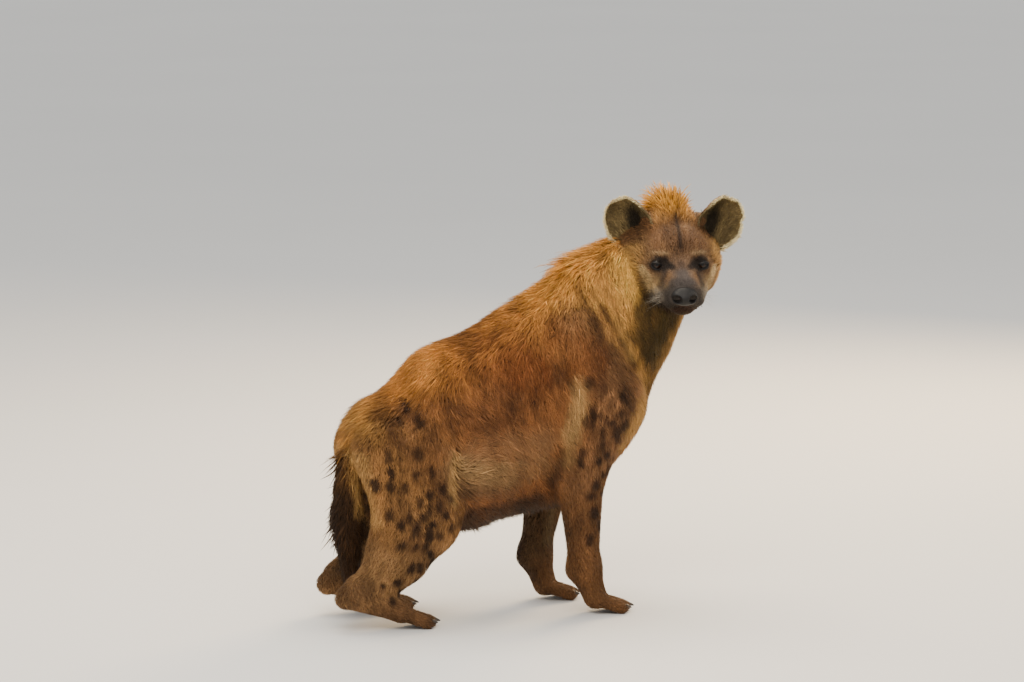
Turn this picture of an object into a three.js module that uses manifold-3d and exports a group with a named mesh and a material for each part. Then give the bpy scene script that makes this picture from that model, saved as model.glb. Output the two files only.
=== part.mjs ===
// Spotted hyena, adult female, life size, as a still museum model: it stands with its hind legs
// crouched and looks back over its right shoulder. Millimetres, +X to the head end, +Y to the
// animal's left, +Z up, origin on the floor under the middle of the model.
// The flesh is a field of tapered oval muscles that flow into each other. Each named part is
// meshed from that field and parted from its neighbours by thin plane cuts.
import * as THREE from "three";
import { mergeVertices } from "three/addons/utils/BufferGeometryUtils.js";
import Module from "manifold-3d";

const wasm = await Module();
wasm.setup();

const GAP = 0.3;
const HALF_GAP = GAP / 2;
const WELD = 0.01;

// A block this wide holds the whole model.
const WORKSPACE = 2400;

// The distance that the field gives far from any muscle.
const FAR = 60;
const LEFT = 1;
const RIGHT = -1;

// Height of the middle of the toes over the floor, which cuts a small flat sole from each.
const TOE_HEIGHT = 13;
const TOE_RADIUS = 15;
const FORE_TRACK = 96;
const HIND_TRACK = 110;

// The point between the eyes, the head's turn from straight ahead, and how far the nose dips.
const EYE_MIDDLE = new THREE.Vector3(401, -150, 832);
const HEAD_TURN = THREE.MathUtils.degToRad(-105);
const HEAD_DIP = THREE.MathUtils.degToRad(6.5);

const EYE = { spread: 53, radius: 14, depth: 9, lidThickness: 4.4 };
const EAR = { height: 124, width: 114, edge: 4, root: 9, curl: 68, forward: 14 };
const NOSE_FRONT = 112;
const NOSE_BOTTOM = -73;
const CLAW = { length: 21, radius: 4.6, sunk: 9 };

const COLOURS = {
  coat: 0xa8703c,
  head: 0x8f6f4c,
  leg: 0x9c6b3f,
  ear: 0x6b5a42,
  tail: 0x4a3423,
  eye: 0x1d140e,
  nose: 0x1b1918,
  claw: 0x2c2621,
};

const v = (x, y, z) => new THREE.Vector3(x, y, z);
const mix = (a, b, t) => a.clone().lerp(b, t);

// The head's own axes: forward along the nose, to its left, and up.
const FORWARD = v(
  Math.cos(HEAD_DIP) * Math.cos(HEAD_TURN),
  Math.cos(HEAD_DIP) * Math.sin(HEAD_TURN),
  -Math.sin(HEAD_DIP),
);
const LEFTWARD = v(0, 0, 1).cross(FORWARD).normalize();
const UPWARD = FORWARD.clone().cross(LEFTWARD);

// A point given in the head's own axes, from the point between the eyes.
function inHead(x, y, z) {
  return EYE_MIDDLE.clone()
    .addScaledVector(FORWARD, x)
    .addScaledVector(LEFTWARD, y)
    .addScaledVector(UPWARD, z);
}

// A direction given in the head's own axes.
function headDirection(x, y, z) {
  return v(0, 0, 0)
    .addScaledVector(FORWARD, x)
    .addScaledVector(LEFTWARD, y)
    .addScaledVector(UPWARD, z)
    .normalize();
}

// One tapered oval body between two points. Radii are given to the side and across it.
class Muscle {
  constructor(from, to, startRadii, endRadii, blend, side = v(0, 1, 0)) {
    this.from = from;
    this.to = to;
    this.start = startRadii;
    this.end = endRadii;
    this.blend = blend;
    this.length = from.distanceTo(to);
    this.axis = to.clone().sub(from).normalize();
    this.side = side.clone().addScaledVector(this.axis, -side.dot(this.axis)).normalize();
    this.across = this.axis.clone().cross(this.side);
  }

  distance(x, y, z) {
    const qx = x - this.from.x;
    const qy = y - this.from.y;
    const qz = z - this.from.z;
    const along = qx * this.axis.x + qy * this.axis.y + qz * this.axis.z;
    const share = Math.min(Math.max(along / this.length, 0), 1);
    const ease = share * share * (3 - 2 * share);
    const rs = this.start[0] + (this.end[0] - this.start[0]) * ease;
    const ra = this.start[1] + (this.end[1] - this.start[1]) * ease;
    const rt = Math.sqrt(rs * ra);
    const a = (along - share * this.length) / rt;
    const s = (qx * this.side.x + qy * this.side.y + qz * this.side.z) / rs;
    const c = (qx * this.across.x + qy * this.across.y + qz * this.across.z) / ra;
    const near = Math.sqrt(a * a + s * s + c * c);
    if (near < 1e-3) {
      return -Math.min(rs, ra);
    }
    const slope = Math.sqrt((a / rt) ** 2 + (s / rs) ** 2 + (c / ra) ** 2);
    return (near * (near - 1)) / slope;
  }

  bounds(pad) {
    const reach = Math.max(...this.start, ...this.end) + pad;
    return new THREE.Box3().setFromPoints([this.from, this.to]).expandByScalar(reach);
  }
}

// Union of two distances with a rounded seam as wide as the blend.
function smoothUnion(a, b, blend) {
  const h = Math.min(Math.max(0.5 + (0.5 * (b - a)) / blend, 0), 1);
  return b + (a - b) * h - blend * h * (1 - h);
}

function trunkMuscles() {
  return [
    // Barrel of the ribs and belly.
    new Muscle(v(-110, 0, 411), v(115, 0, 490), [157, 198], [154, 226], 30),
    // Loin, back and withers, which slope up to the shoulders.
    new Muscle(v(-274, 0, 458), v(-140, 0, 560), [66, 62], [78, 74], 40),
    new Muscle(v(-140, 0, 560), v(60, 0, 636), [78, 74], [78, 80], 40),
    new Muscle(v(60, 0, 636), v(180, 0, 684), [78, 80], [68, 80], 40),
    // Chest and brisket.
    new Muscle(v(115, 0, 500), v(246, 0, 505), [130, 214], [104, 152], 55),
    new Muscle(v(200, 0, 400), v(276, 0, 470), [70, 78], [66, 64], 40),
    // Pelvis and the end of the rump.
    new Muscle(v(-170, 0, 420), v(-276, 0, 428), [126, 148], [92, 84], 40),
    new Muscle(v(-272, 0, 432), v(-304, 0, 404), [80, 70], [62, 54], 30),
  ];
}

function neckMuscles() {
  const atlas = inHead(-125, 0, 5);
  return [
    // Base of the neck, its upper half to the skull, and the throat.
    new Muscle(v(200, 0, 596), v(284, -12, 688), [102, 168], [90, 142], 50),
    new Muscle(v(284, -12, 688), atlas, [90, 142], [80, 98], 50),
    new Muscle(v(305, 0, 556), inHead(-80, 0, -76), [70, 74], [50, 42], 45),
  ];
}

// The dense root of the mane along the top of the neck and between the ears.
function maneMuscles() {
  const nape = inHead(-128, 0, 62);
  return [
    new Muscle(v(110, 0, 694), v(222, -2, 786), [36, 40], [36, 40], 40),
    new Muscle(v(222, -2, 786), nape, [36, 40], [36, 38], 40),
    new Muscle(nape, inHead(-116, -4, 84), [46, 36], [44, 24], 24),
  ];
}

function headMuscles() {
  const add = (from, to, start, end, blend) =>
    new Muscle(inHead(...from), inHead(...to), start, end, blend, LEFTWARD);
  const middle = [
    // Skull and the ridge of muscle on it.
    add([-120, 0, 22], [-38, 0, 26], [76, 66], [72, 56], 25),
    add([-120, 0, 56], [-10, 0, 34], [40, 28], [38, 28], 25),
    // Muzzle, its bridge, lower jaw and chin.
    add([-5, 0, -24], [92, 0, -50], [62, 52], [44, 31], 30),
    add([-5, 0, 8], [92, 0, -31], [30, 26], [25, 17], 20),
    add([-70, 0, -72], [78, 0, -80], [56, 34], [30, 20], 24),
    add([70, 0, -84], [90, 0, -86], [27, 16], [24, 15], 12),
    // Nose pad.
    add([103, 0, -48], [116, 0, -54], [29, 20], [27, 18], 8),
  ];
  const paired = [RIGHT, LEFT].flatMap((s) => [
    // Cheek, brow and cheekbone.
    add([-88, s * 62, -18], [-22, s * 56, -34], [40, 66], [32, 46], 30),
    add([-30, s * 46, 26], [6, s * 38, 20], [24, 17], [17, 12], 16),
    add([-50, s * 78, -6], [6, s * 56, -22], [20, 17], [18, 15], 20),
    // Upper lip and the root of the ear.
    add([40, s * 30, -54], [98, s * 20, -64], [24, 24], [20, 15], 14),
    add([-122, s * 64, 40], [-122, s * 82, 56], [30, 26], [22, 18], 24),
  ]);
  return [...middle, ...paired];
}

// The four toes of a foot: the outer two end a little short of the middle two.
function toeMuscles({ knuckle, toe }, { spread, shortening }) {
  return [-1.5, -0.5, 0.5, 1.5].map((place) => {
    const reach = Math.abs(place) > 1 ? -shortening : 0;
    const root = knuckle.clone().add(v(0, place * spread * 0.9, -3));
    const tip = toe.clone().add(v(reach, place * spread * 1.12, 0));
    return new Muscle(root, tip, [12.5, 16.5], [12, TOE_RADIUS], 9);
  });
}

const FORE_FOOT = { spread: 19, shortening: 14 };
const HIND_FOOT = { spread: 17, shortening: 12 };

const FORE_LEGS = [
  {
    name: "foreleg_right",
    side: RIGHT,
    blade: v(176, -76, 682),
    shoulder: v(250, -108, 500),
    elbow: v(168, -112, 362),
    wrist: v(186, -97, 112),
    knuckle: v(214, -FORE_TRACK, 40),
    toe: v(284, -FORE_TRACK, TOE_HEIGHT),
  },
  {
    name: "foreleg_left",
    side: LEFT,
    blade: v(170, 76, 682),
    shoulder: v(250, 108, 500),
    elbow: v(182, 112, 352),
    wrist: v(134, 97, 112),
    knuckle: v(158, FORE_TRACK, 40),
    toe: v(226, FORE_TRACK, TOE_HEIGHT),
  },
];

function foreLegMuscles(leg) {
  const { blade, shoulder, elbow, wrist, knuckle } = leg;
  const triceps = mix(elbow, blade, 0.35).add(v(-22, 0, 18));
  const above = wrist.clone().add(v(0, 0, 10));
  const padTop = wrist.clone().add(v(-24, 0, 2));
  const padEnd = wrist.clone().add(v(-30, 0, -8));
  return [
    // Shoulder blade, upper arm and the muscle behind it.
    new Muscle(blade, shoulder, [44, 66], [56, 74], 45),
    new Muscle(shoulder, elbow, [54, 78], [50, 66], 40),
    new Muscle(triceps, elbow, [44, 58], [40, 46], 35),
    // Forearm, wrist with its pad behind, and the hand to the toes.
    new Muscle(elbow, wrist, [43, 55], [31, 36], 30),
    new Muscle(above, wrist, [33, 38], [33, 38], 15),
    new Muscle(padTop, padEnd, [13, 13], [12, 12], 14),
    new Muscle(wrist, knuckle, [32, 35], [36, 28], 18),
    ...toeMuscles(leg, FORE_FOOT),
  ];
}

const HIND_LEGS = [
  {
    name: "hindleg_right",
    side: RIGHT,
    hip: v(-264, -82, 424),
    knee: v(-208, -122, 270),
    hock: v(-380, -108, 90),
    heel: v(-412, -108, 80),
    knuckle: v(-278, -HIND_TRACK, 42),
    toe: v(-206, -HIND_TRACK, TOE_HEIGHT),
  },
  {
    name: "hindleg_left",
    side: LEFT,
    hip: v(-264, 82, 424),
    knee: v(-194, 122, 270),
    hock: v(-358, 108, 86),
    heel: v(-388, 108, 72),
    knuckle: v(-256, HIND_TRACK, 40),
    toe: v(-184, HIND_TRACK, TOE_HEIGHT),
  },
];

function hindLegMuscles(leg) {
  const { hip, knee, hock, heel, knuckle } = leg;
  const from = (joint, x, z) => joint.clone().add(v(x, 0, z));
  const shank = from(mix(knee, hock, 0.55), 20, 4);
  return [
    // Thigh, the haunch behind it, and the kneecap.
    new Muscle(hip, knee, [58, 108], [50, 78], 50),
    new Muscle(from(hip, -14, -20), from(knee, -70, -14), [50, 76], [46, 66], 40),
    new Muscle(from(knee, 14, 10), from(knee, 2, -26), [38, 46], [38, 46], 35),
    // Calf, shin, heel and the foot to the toes.
    new Muscle(from(knee, -22, -22), shank, [46, 82], [37, 70], 50),
    new Muscle(shank, from(hock, 34, 4), [37, 70], [29, 50], 30),
    new Muscle(hock, heel, [26, 30], [21, 22], 20),
    new Muscle(hock, knuckle, [29, 36], [34, 28], 26),
    ...toeMuscles(leg, HIND_FOOT),
  ];
}

// The hanging tail: root, middle and the thinning end.
function tailMuscles() {
  return [
    new Muscle(v(-300, 0, 446), v(-362, -6, 392), [30, 30], [27, 27], 20),
    new Muscle(v(-362, -6, 392), v(-373, -12, 250), [27, 27], [31, 31], 20),
    new Muscle(v(-373, -12, 250), v(-364, -16, 92), [31, 31], [13, 13], 20),
  ];
}

const LEGS = [...FORE_LEGS, ...HIND_LEGS];
const BODY = [
  ...trunkMuscles(),
  ...neckMuscles(),
  ...maneMuscles(),
  ...headMuscles(),
  ...FORE_LEGS.flatMap(foreLegMuscles),
  ...HIND_LEGS.flatMap(hindLegMuscles),
];

// A half space that a part keeps: the side that its normal points away from.
function halfSpace(normal, point) {
  const n = normal.clone().normalize();
  return { n, d: n.dot(point) };
}

function opposite(space) {
  return { n: space.n.clone().negate(), d: -space.d };
}

// Signed distance to a convex region, positive outside it.
function regionDistance(spaces, x, y, z) {
  return Math.max(...spaces.map(({ n, d }) => n.x * x + n.y * y + n.z * z - d));
}

function bodyDistance(muscles, p) {
  let value = FAR;
  for (const muscle of muscles) {
    value = smoothUnion(value, muscle.distance(p.x, p.y, p.z), muscle.blend);
  }
  return value;
}

// Samples the muscles' union on a grid, within the limits that keep(x, y, z) gives.
function sampleField(muscles, box, step, keep) {
  const count = ["x", "y", "z"].map((k) => Math.ceil((box.max[k] - box.min[k]) / step) + 1);
  const [nx, ny, nz] = count;
  const values = new Float32Array(nx * ny * nz).fill(FAR);
  for (const muscle of muscles) {
    const reach = muscle.bounds(muscle.blend + 2 * step);
    const from = ["x", "y", "z"].map((k) => Math.max(0, Math.floor((reach.min[k] - box.min[k]) / step)));
    const to = ["x", "y", "z"].map((k, i) =>
      Math.min(count[i] - 1, Math.ceil((reach.max[k] - box.min[k]) / step)),
    );
    for (let i = from[0]; i <= to[0]; i++) {
      for (let j = from[1]; j <= to[1]; j++) {
        for (let k = from[2]; k <= to[2]; k++) {
          const at = (i * ny + j) * nz + k;
          const x = box.min.x + i * step;
          const y = box.min.y + j * step;
          const z = box.min.z + k * step;
          values[at] = smoothUnion(values[at], muscle.distance(x, y, z), muscle.blend);
        }
      }
    }
  }
  for (let i = 0; i < nx; i++) {
    for (let j = 0; j < ny; j++) {
      for (let k = 0; k < nz; k++) {
        const at = (i * ny + j) * nz + k;
        const rim = i === 0 || j === 0 || k === 0 || i === nx - 1 || j === ny - 1 || k === nz - 1;
        const limit = keep(box.min.x + i * step, box.min.y + j * step, box.min.z + k * step);
        values[at] = rim ? step : Math.max(values[at], limit);
      }
    }
  }
  return { values, count, step, origin: box.min };
}

// The six tetrahedra that fill a grid cell, each turned the same way.
const TETRAHEDRA = [
  [1, 2, 4],
  [1, 4, 2],
  [2, 1, 4],
  [2, 4, 1],
  [4, 1, 2],
  [4, 2, 1],
].map(([a, b, c], index) => {
  const path = [0, a, a | b, a | b | c];
  const even = [0, 3, 4].includes(index);
  return even ? path : [path[0], path[2], path[1], path[3]];
});

// Closed triangle mesh of a sampled field's zero surface, by marching tetrahedra.
function surfaceOf({ values, count, step, origin }) {
  const [, ny, nz] = count;
  const places = [];
  const known = new Map();
  const triangles = [];
  const offsetOf = (corner) => ((corner & 1) * ny + ((corner >> 1) & 1)) * nz + ((corner >> 2) & 1);
  const offsets = [0, 1, 2, 3, 4, 5, 6, 7].map(offsetOf);

  function crossing(base, a, b) {
    const low = Math.min(a, b);
    const high = Math.max(a, b);
    const from = base + offsets[low];
    const to = base + offsets[high];
    const key = from * 8 + (high ^ low);
    let index = known.get(key);
    if (index === undefined) {
      const share = Math.min(Math.max(values[from] / (values[from] - values[to]), 0.03), 0.97);
      const k = from % nz;
      const j = ((from - k) / nz) % ny;
      const i = Math.floor(from / (ny * nz));
      const spread = high ^ low;
      index = places.length / 3;
      places.push(
        origin.x + step * (i + share * (spread & 1)),
        origin.y + step * (j + share * ((spread >> 1) & 1)),
        origin.z + step * (k + share * ((spread >> 2) & 1)),
      );
      known.set(key, index);
    }
    return index;
  }

  for (let i = 0; i < count[0] - 1; i++) {
    for (let j = 0; j < ny - 1; j++) {
      for (let k = 0; k < nz - 1; k++) {
        const base = (i * ny + j) * nz + k;
        const inside = offsets.map((offset) => values[base + offset] < 0);
        const total = inside.filter(Boolean).length;
        if (total === 0 || total === 8) {
          continue;
        }
        for (const tetra of TETRAHEDRA) {
          cutTetrahedron(tetra, inside, (a, b) => crossing(base, a, b), triangles);
        }
      }
    }
  }
  return { places, triangles };
}

// Even orders of a tetrahedron's corners, by which corner or corners are inside.
const ONE_FIRST = { 1: [0, 1, 2, 3], 2: [1, 0, 3, 2], 4: [2, 0, 1, 3], 8: [3, 0, 2, 1] };
const TWO_FIRST = {
  3: [0, 1, 2, 3],
  5: [0, 2, 3, 1],
  9: [0, 3, 1, 2],
  6: [1, 2, 0, 3],
  10: [1, 3, 2, 0],
  12: [2, 3, 0, 1],
};

function cutTetrahedron(tetra, inside, crossing, triangles) {
  let mask = 0;
  tetra.forEach((corner, place) => {
    mask |= inside[corner] ? 1 << place : 0;
  });
  if (mask === 0 || mask === 15) {
    return;
  }
  if (TWO_FIRST[mask]) {
    const [a, b, c, d] = TWO_FIRST[mask].map((place) => tetra[place]);
    const ac = crossing(a, c);
    const ad = crossing(a, d);
    const bd = crossing(b, d);
    const bc = crossing(b, c);
    triangles.push(ac, ad, bd, ac, bd, bc);
    return;
  }
  const alone = ONE_FIRST[mask] ? mask : 15 - mask;
  const [a, b, c, d] = ONE_FIRST[alone].map((place) => tetra[place]);
  const ab = crossing(a, b);
  const ac = crossing(a, c);
  const ad = crossing(a, d);
  triangles.push(ab, ...(alone === mask ? [ac, ad] : [ad, ac]));
}

// A queue that gives its cheapest entry first.
class CheapestFirst {
  constructor() {
    this.entries = [];
  }

  push(entry) {
    const heap = this.entries;
    heap.push(entry);
    let at = heap.length - 1;
    while (at > 0) {
      const parent = (at - 1) >> 1;
      if (heap[parent].cost <= heap[at].cost) {
        break;
      }
      [heap[parent], heap[at]] = [heap[at], heap[parent]];
      at = parent;
    }
  }

  pop() {
    const heap = this.entries;
    const first = heap[0];
    const last = heap.pop();
    if (heap.length > 0) {
      heap[0] = last;
      let at = 0;
      for (;;) {
        let next = 2 * at + 1;
        if (next >= heap.length) {
          break;
        }
        if (next + 1 < heap.length && heap[next + 1].cost < heap[next].cost) {
          next += 1;
        }
        if (heap[at].cost <= heap[next].cost) {
          break;
        }
        [heap[at], heap[next]] = [heap[next], heap[at]];
        at = next;
      }
    }
    return first;
  }
}

// Error of moving a vertex, kept as the ten numbers of a symmetric plane quadric.
function planeQuadric(a, b, c) {
  const n = b.clone().sub(a).cross(c.clone().sub(a));
  const area = n.length();
  if (area < 1e-9) {
    return new Float64Array(10);
  }
  n.divideScalar(area);
  const d = -n.dot(a);
  const plane = [n.x, n.y, n.z, d];
  const terms = plane.flatMap((first, i) => plane.slice(i).map((second) => first * second * area));
  return Float64Array.from(terms);
}

function quadricError(q, p) {
  const { x, y, z } = p;
  return (
    q[0] * x * x + 2 * q[1] * x * y + 2 * q[2] * x * z + 2 * q[3] * x +
    q[4] * y * y + 2 * q[5] * y * z + 2 * q[6] * y +
    q[7] * z * z + 2 * q[8] * z + q[9]
  );
}

// Where an edge shrinks to with the least error, near its middle if that is ill defined.
function bestPlace(q, a, b) {
  const middle = mix(a, b, 0.5);
  const matrix = new THREE.Matrix3().set(q[0], q[1], q[2], q[1], q[4], q[5], q[2], q[5], q[7]);
  const scale = Math.max(q[0] + q[4] + q[7], 1e-12);
  if (Math.abs(matrix.determinant()) > 1e-5 * scale ** 3) {
    const place = v(-q[3], -q[6], -q[8]).applyMatrix3(matrix.invert());
    if (place.distanceTo(middle) < 1.5 * a.distanceTo(b)) {
      return place;
    }
  }
  return [a, b, middle].reduce((best, p) => (quadricError(q, p) < quadricError(q, best) ? p : best)).clone();
}

// How far a triangle is from a sliver: twice its area over its longest side squared.
function plumpness(a, b, c) {
  const area = b.clone().sub(a).cross(c.clone().sub(a)).length();
  return area / Math.max(a.distanceToSquared(b), b.distanceToSquared(c), c.distanceToSquared(a), 1e-9);
}

// Shrinks the least needed edges of a closed mesh until it has the wanted number of triangles.
// fineness(point) raises the worth of detail at a place.
function simplify({ places, triangles }, target, fineness = () => 1) {
  const total = places.length / 3;
  const point = Array.from({ length: total }, (_, i) => v(...places.slice(3 * i, 3 * i + 3)));
  const faces = [];
  const around = Array.from({ length: total }, () => new Set());
  const quadric = Array.from({ length: total }, () => new Float64Array(10));
  const version = new Uint32Array(total);
  for (let t = 0; t < triangles.length; t += 3) {
    const face = [triangles[t], triangles[t + 1], triangles[t + 2]];
    const q = planeQuadric(...face.map((i) => point[i]));
    const weight = fineness(point[face[0]]);
    for (const i of face) {
      around[i].add(faces.length);
      for (let k = 0; k < 10; k++) {
        quadric[i][k] += q[k] * weight;
      }
    }
    faces.push(face);
  }
  const neighbours = (i) => {
    const found = new Set();
    for (const f of around[i]) {
      faces[f].forEach((j) => j !== i && found.add(j));
    }
    return found;
  };
  const queue = new CheapestFirst();
  const offer = (a, b) => {
    const q = quadric[a].map((value, k) => value + quadric[b][k]);
    const place = bestPlace(q, point[a], point[b]);
    const cost = Math.max(quadricError(q, place), 0) + 1e-4 * point[a].distanceToSquared(point[b]);
    queue.push({ cost, a, b, place, stamp: version[a] + version[b] * 65536 });
  };
  for (let i = 0; i < total; i++) {
    neighbours(i).forEach((j) => i < j && offer(i, j));
  }
  const turns = (keeper, gone, place) => {
    for (const f of around[keeper]) {
      if (around[gone].has(f)) {
        continue;
      }
      const [a, b, c] = faces[f].map((i) => point[i]);
      const [d, e, g] = faces[f].map((i) => (i === keeper ? place : point[i]));
      const before = b.clone().sub(a).cross(c.clone().sub(a));
      const after = e.clone().sub(d).cross(g.clone().sub(d));
      if (after.dot(before) < 0.25 * after.length() * before.length()) {
        return true;
      }
      const thin = Math.min(0.1, 0.7 * plumpness(a, b, c));
      if (plumpness(d, e, g) < thin) {
        return true;
      }
    }
    return false;
  };
  let left = faces.length;
  while (left > target && queue.entries.length > 0) {
    const { a, b, place, stamp } = queue.pop();
    if (stamp !== version[a] + version[b] * 65536 || around[a].size === 0 || around[b].size === 0) {
      continue;
    }
    const near = neighbours(b);
    const shared = [...neighbours(a)].filter((i) => near.has(i)).length;
    if (shared !== 2 || turns(a, b, place) || turns(b, a, place)) {
      continue;
    }
    for (const f of around[b]) {
      if (faces[f].includes(a)) {
        faces[f].forEach((i) => i !== b && around[i].delete(f));
        faces[f] = null;
        left -= 1;
      } else {
        faces[f] = faces[f].map((i) => (i === b ? a : i));
        around[a].add(f);
      }
    }
    around[b].clear();
    point[a].copy(place);
    quadric[a].forEach((value, k) => {
      quadric[a][k] = value + quadric[b][k];
    });
    version[a] += 1;
    version[b] += 1;
    neighbours(a).forEach((i) => offer(a, i));
  }
  const kept = new Map();
  const outPlaces = [];
  const outTriangles = [];
  for (const face of faces.filter(Boolean)) {
    for (const i of face) {
      if (!kept.has(i)) {
        kept.set(i, kept.size);
        outPlaces.push(point[i].x, point[i].y, point[i].z);
      }
      outTriangles.push(kept.get(i));
    }
  }
  return { places: outPlaces, triangles: outTriangles };
}

function solidOf({ places, triangles }) {
  const vertProperties = Float32Array.from(places);
  const triVerts = Uint32Array.from(triangles);
  return new wasm.Manifold(new wasm.Mesh({ numProp: 3, vertProperties, triVerts }));
}

// Turns a closed mesh's triangles round if they face in.
function facingOut({ places, triangles }) {
  const inward = solidOf({ places, triangles }).volume() < 0;
  return { places, triangles: inward ? triangles.toReversed() : triangles };
}

// The largest closed surface of a solid, without loose scraps or sealed hollows.
function largestOf(solid) {
  return solid.decompose().reduce((best, piece) => (piece.volume() > best.volume() ? piece : best));
}

// A closed solid of one of three's own shapes, with the corners that its faces share welded.
function weldedSolid(geometry) {
  geometry.deleteAttribute("normal");
  geometry.deleteAttribute("uv");
  const welded = mergeVertices(geometry, WELD);
  return solidOf({ places: welded.getAttribute("position").array, triangles: welded.index.array });
}

// A big block cut down to the given half spaces, grown or shrunk by a margin.
function regionSolid(spaces, margin) {
  return trimmed(weldedSolid(new THREE.BoxGeometry(WORKSPACE, WORKSPACE, WORKSPACE)), spaces, margin);
}

// Cuts a solid down to the given half spaces, moved out by a margin.
function trimmed(solid, spaces, margin) {
  return spaces.reduce((piece, { n, d }) => piece.trimByPlane([-n.x, -n.y, -n.z], -(d + margin)), solid);
}

// Where the head, neck, tail root, ears and legs are parted from what carries them.
const NECK_AXIS = inHead(-125, 0, 5).sub(v(284, -12, 688)).normalize();
const HEAD_START = opposite(
  halfSpace(
    NECK_AXIS.clone().multiplyScalar(0.75).addScaledVector(FORWARD, 0.66),
    inHead(-125, 0, 5).addScaledVector(NECK_AXIS, -108),
  ),
);
const NECK_START = opposite(halfSpace(v(0.827, 0, 0.563), v(283, 0, 670)));
const HEAD_REGION = [HEAD_START, NECK_START];
const NECK_REGION = [NECK_START, opposite(HEAD_START)];
const NOSE_REGION = [
  opposite(halfSpace(headDirection(1, 0, 0.3), inHead(NOSE_FRONT, 0, -52))),
  opposite(halfSpace(headDirection(0, 0, 1), inHead(NOSE_FRONT, 0, NOSE_BOTTOM))),
];

// A leg leaves the trunk on a plane that slants up and outward, short of the belly's end.
function legRegion(leg) {
  const fore = FORE_LEGS.includes(leg);
  const slope = fore ? v(0, -leg.side * 130, 115) : v(0, -leg.side * 115, 140);
  const root = fore ? v(0, leg.side * 60, 275) : v(0, leg.side * 40, 205);
  const limit = fore
    ? opposite(halfSpace(v(1, 0, -0.2), v(98, 0, 330)))
    : halfSpace(v(1, 0, 0), v(-138, 0, 0));
  const outward = halfSpace(v(0, -leg.side, 0), v(0, leg.side * 8, 0));
  const front = fore ? halfSpace(v(1, 0, 0), v(420, 0, 0)) : halfSpace(v(-1, 0, 0), v(-520, 0, 0));
  return [halfSpace(slope, root), limit, outward, front];
}

function boundsOf(muscles, pad) {
  return muscles.reduce((box, muscle) => box.union(muscle.bounds(pad)), new THREE.Box3());
}

// Meshes the body's field inside a convex region to about the wanted number of triangles.
function fleshIn(spaces, around, step, target, carve = []) {
  const box = boundsOf(around, 2 * step);
  const margin = 1.5 * step;
  const keep = (x, y, z) => {
    const outside = regionDistance(spaces, x, y, z) - margin;
    const hollow = Math.max(...carve.map((muscle) => -muscle.distance(x, y, z)), -FAR);
    return Math.max(outside, hollow);
  };
  const mesh = simplify(surfaceOf(sampleField(BODY, box, step, keep)), target);
  return trimmed(solidOf(mesh), spaces, -HALF_GAP);
}

// A closed tube or blade through rings of points, each ring in the same turn. It has flat ends,
// or runs to a point where a tip is given.
function skinned(rings, tip = null) {
  const places = [...rings.flat(), ...(tip ? [tip] : [])].flatMap((p) => [p.x, p.y, p.z]);
  const sides = rings[0].length;
  const triangles = [];
  for (let r = 0; r + 1 < rings.length; r++) {
    for (let s = 0; s < sides; s++) {
      const a = r * sides + s;
      const b = r * sides + ((s + 1) % sides);
      triangles.push(a, b, b + sides, a, b + sides, a + sides);
    }
  }
  const last = (rings.length - 1) * sides;
  for (let s = 1; s + 1 < sides; s++) {
    triangles.push(0, s + 1, s);
  }
  for (let s = 0; s < sides; s++) {
    if (tip) {
      triangles.push(last + s, last + ((s + 1) % sides), last + sides);
    } else if (s > 0 && s + 1 < sides) {
      triangles.push(last, last + s, last + s + 1);
    }
  }
  return solidOf(facingOut({ places, triangles }));
}

// A ring of points round a centre in the plane of two unit directions.
function ringAround(centre, first, second, radiusFirst, radiusSecond, sides) {
  return Array.from({ length: sides }, (_, s) => {
    const turn = (2 * Math.PI * s) / sides;
    return centre
      .clone()
      .addScaledVector(first, Math.cos(turn) * radiusFirst)
      .addScaledVector(second, Math.sin(turn) * radiusSecond);
  });
}

function ball(centre, radius) {
  return weldedSolid(new THREE.SphereGeometry(radius, 12, 8)).translate(centre.toArray());
}

// Distance along a ray to the body's surface, coming from outside.
function surfaceAlong(from, direction, reach, muscles = BODY) {
  const at = (t) => bodyDistance(muscles, from.clone().addScaledVector(direction, t));
  let outside = reach;
  let inside = 0;
  for (let k = 0; k < 30; k++) {
    const middle = (outside + inside) / 2;
    if (at(middle) > 0) {
      outside = middle;
    } else {
      inside = middle;
    }
  }
  return inside;
}

function eyeCentre(side) {
  const deep = inHead(-40, side * EYE.spread, 0);
  const skin = surfaceAlong(deep, FORWARD, 120);
  return inHead(-40 + skin - EYE.depth, side * EYE.spread, 0);
}

// One eyelid: a bent, tapering roll over or under the eyeball.
function lid(side, up) {
  const centre = eyeCentre(side);
  const stations = 6;
  const rings = [];
  for (let k = 0; k <= stations; k++) {
    const share = k / stations;
    const swing = THREE.MathUtils.degToRad(-62 + 124 * share) * side;
    const rise = THREE.MathUtils.degToRad((up > 0 ? 40 : -42) * Math.sin(Math.PI * (0.12 + 0.76 * share)));
    const flat = Math.cos(rise);
    const out = headDirection(flat * Math.cos(swing), flat * Math.sin(swing), Math.sin(rise));
    const roll = EYE.lidThickness * (0.6 + 0.4 * Math.sin(Math.PI * share));
    const along = headDirection(-Math.sin(swing), Math.cos(swing), 0);
    const across = out.clone().cross(along).normalize();
    const middle = centre.clone().addScaledVector(out, EYE.radius + 1);
    rings.push(ringAround(middle, out, across, roll * 0.8, roll, 5));
  }
  return skinned(rings);
}

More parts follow.
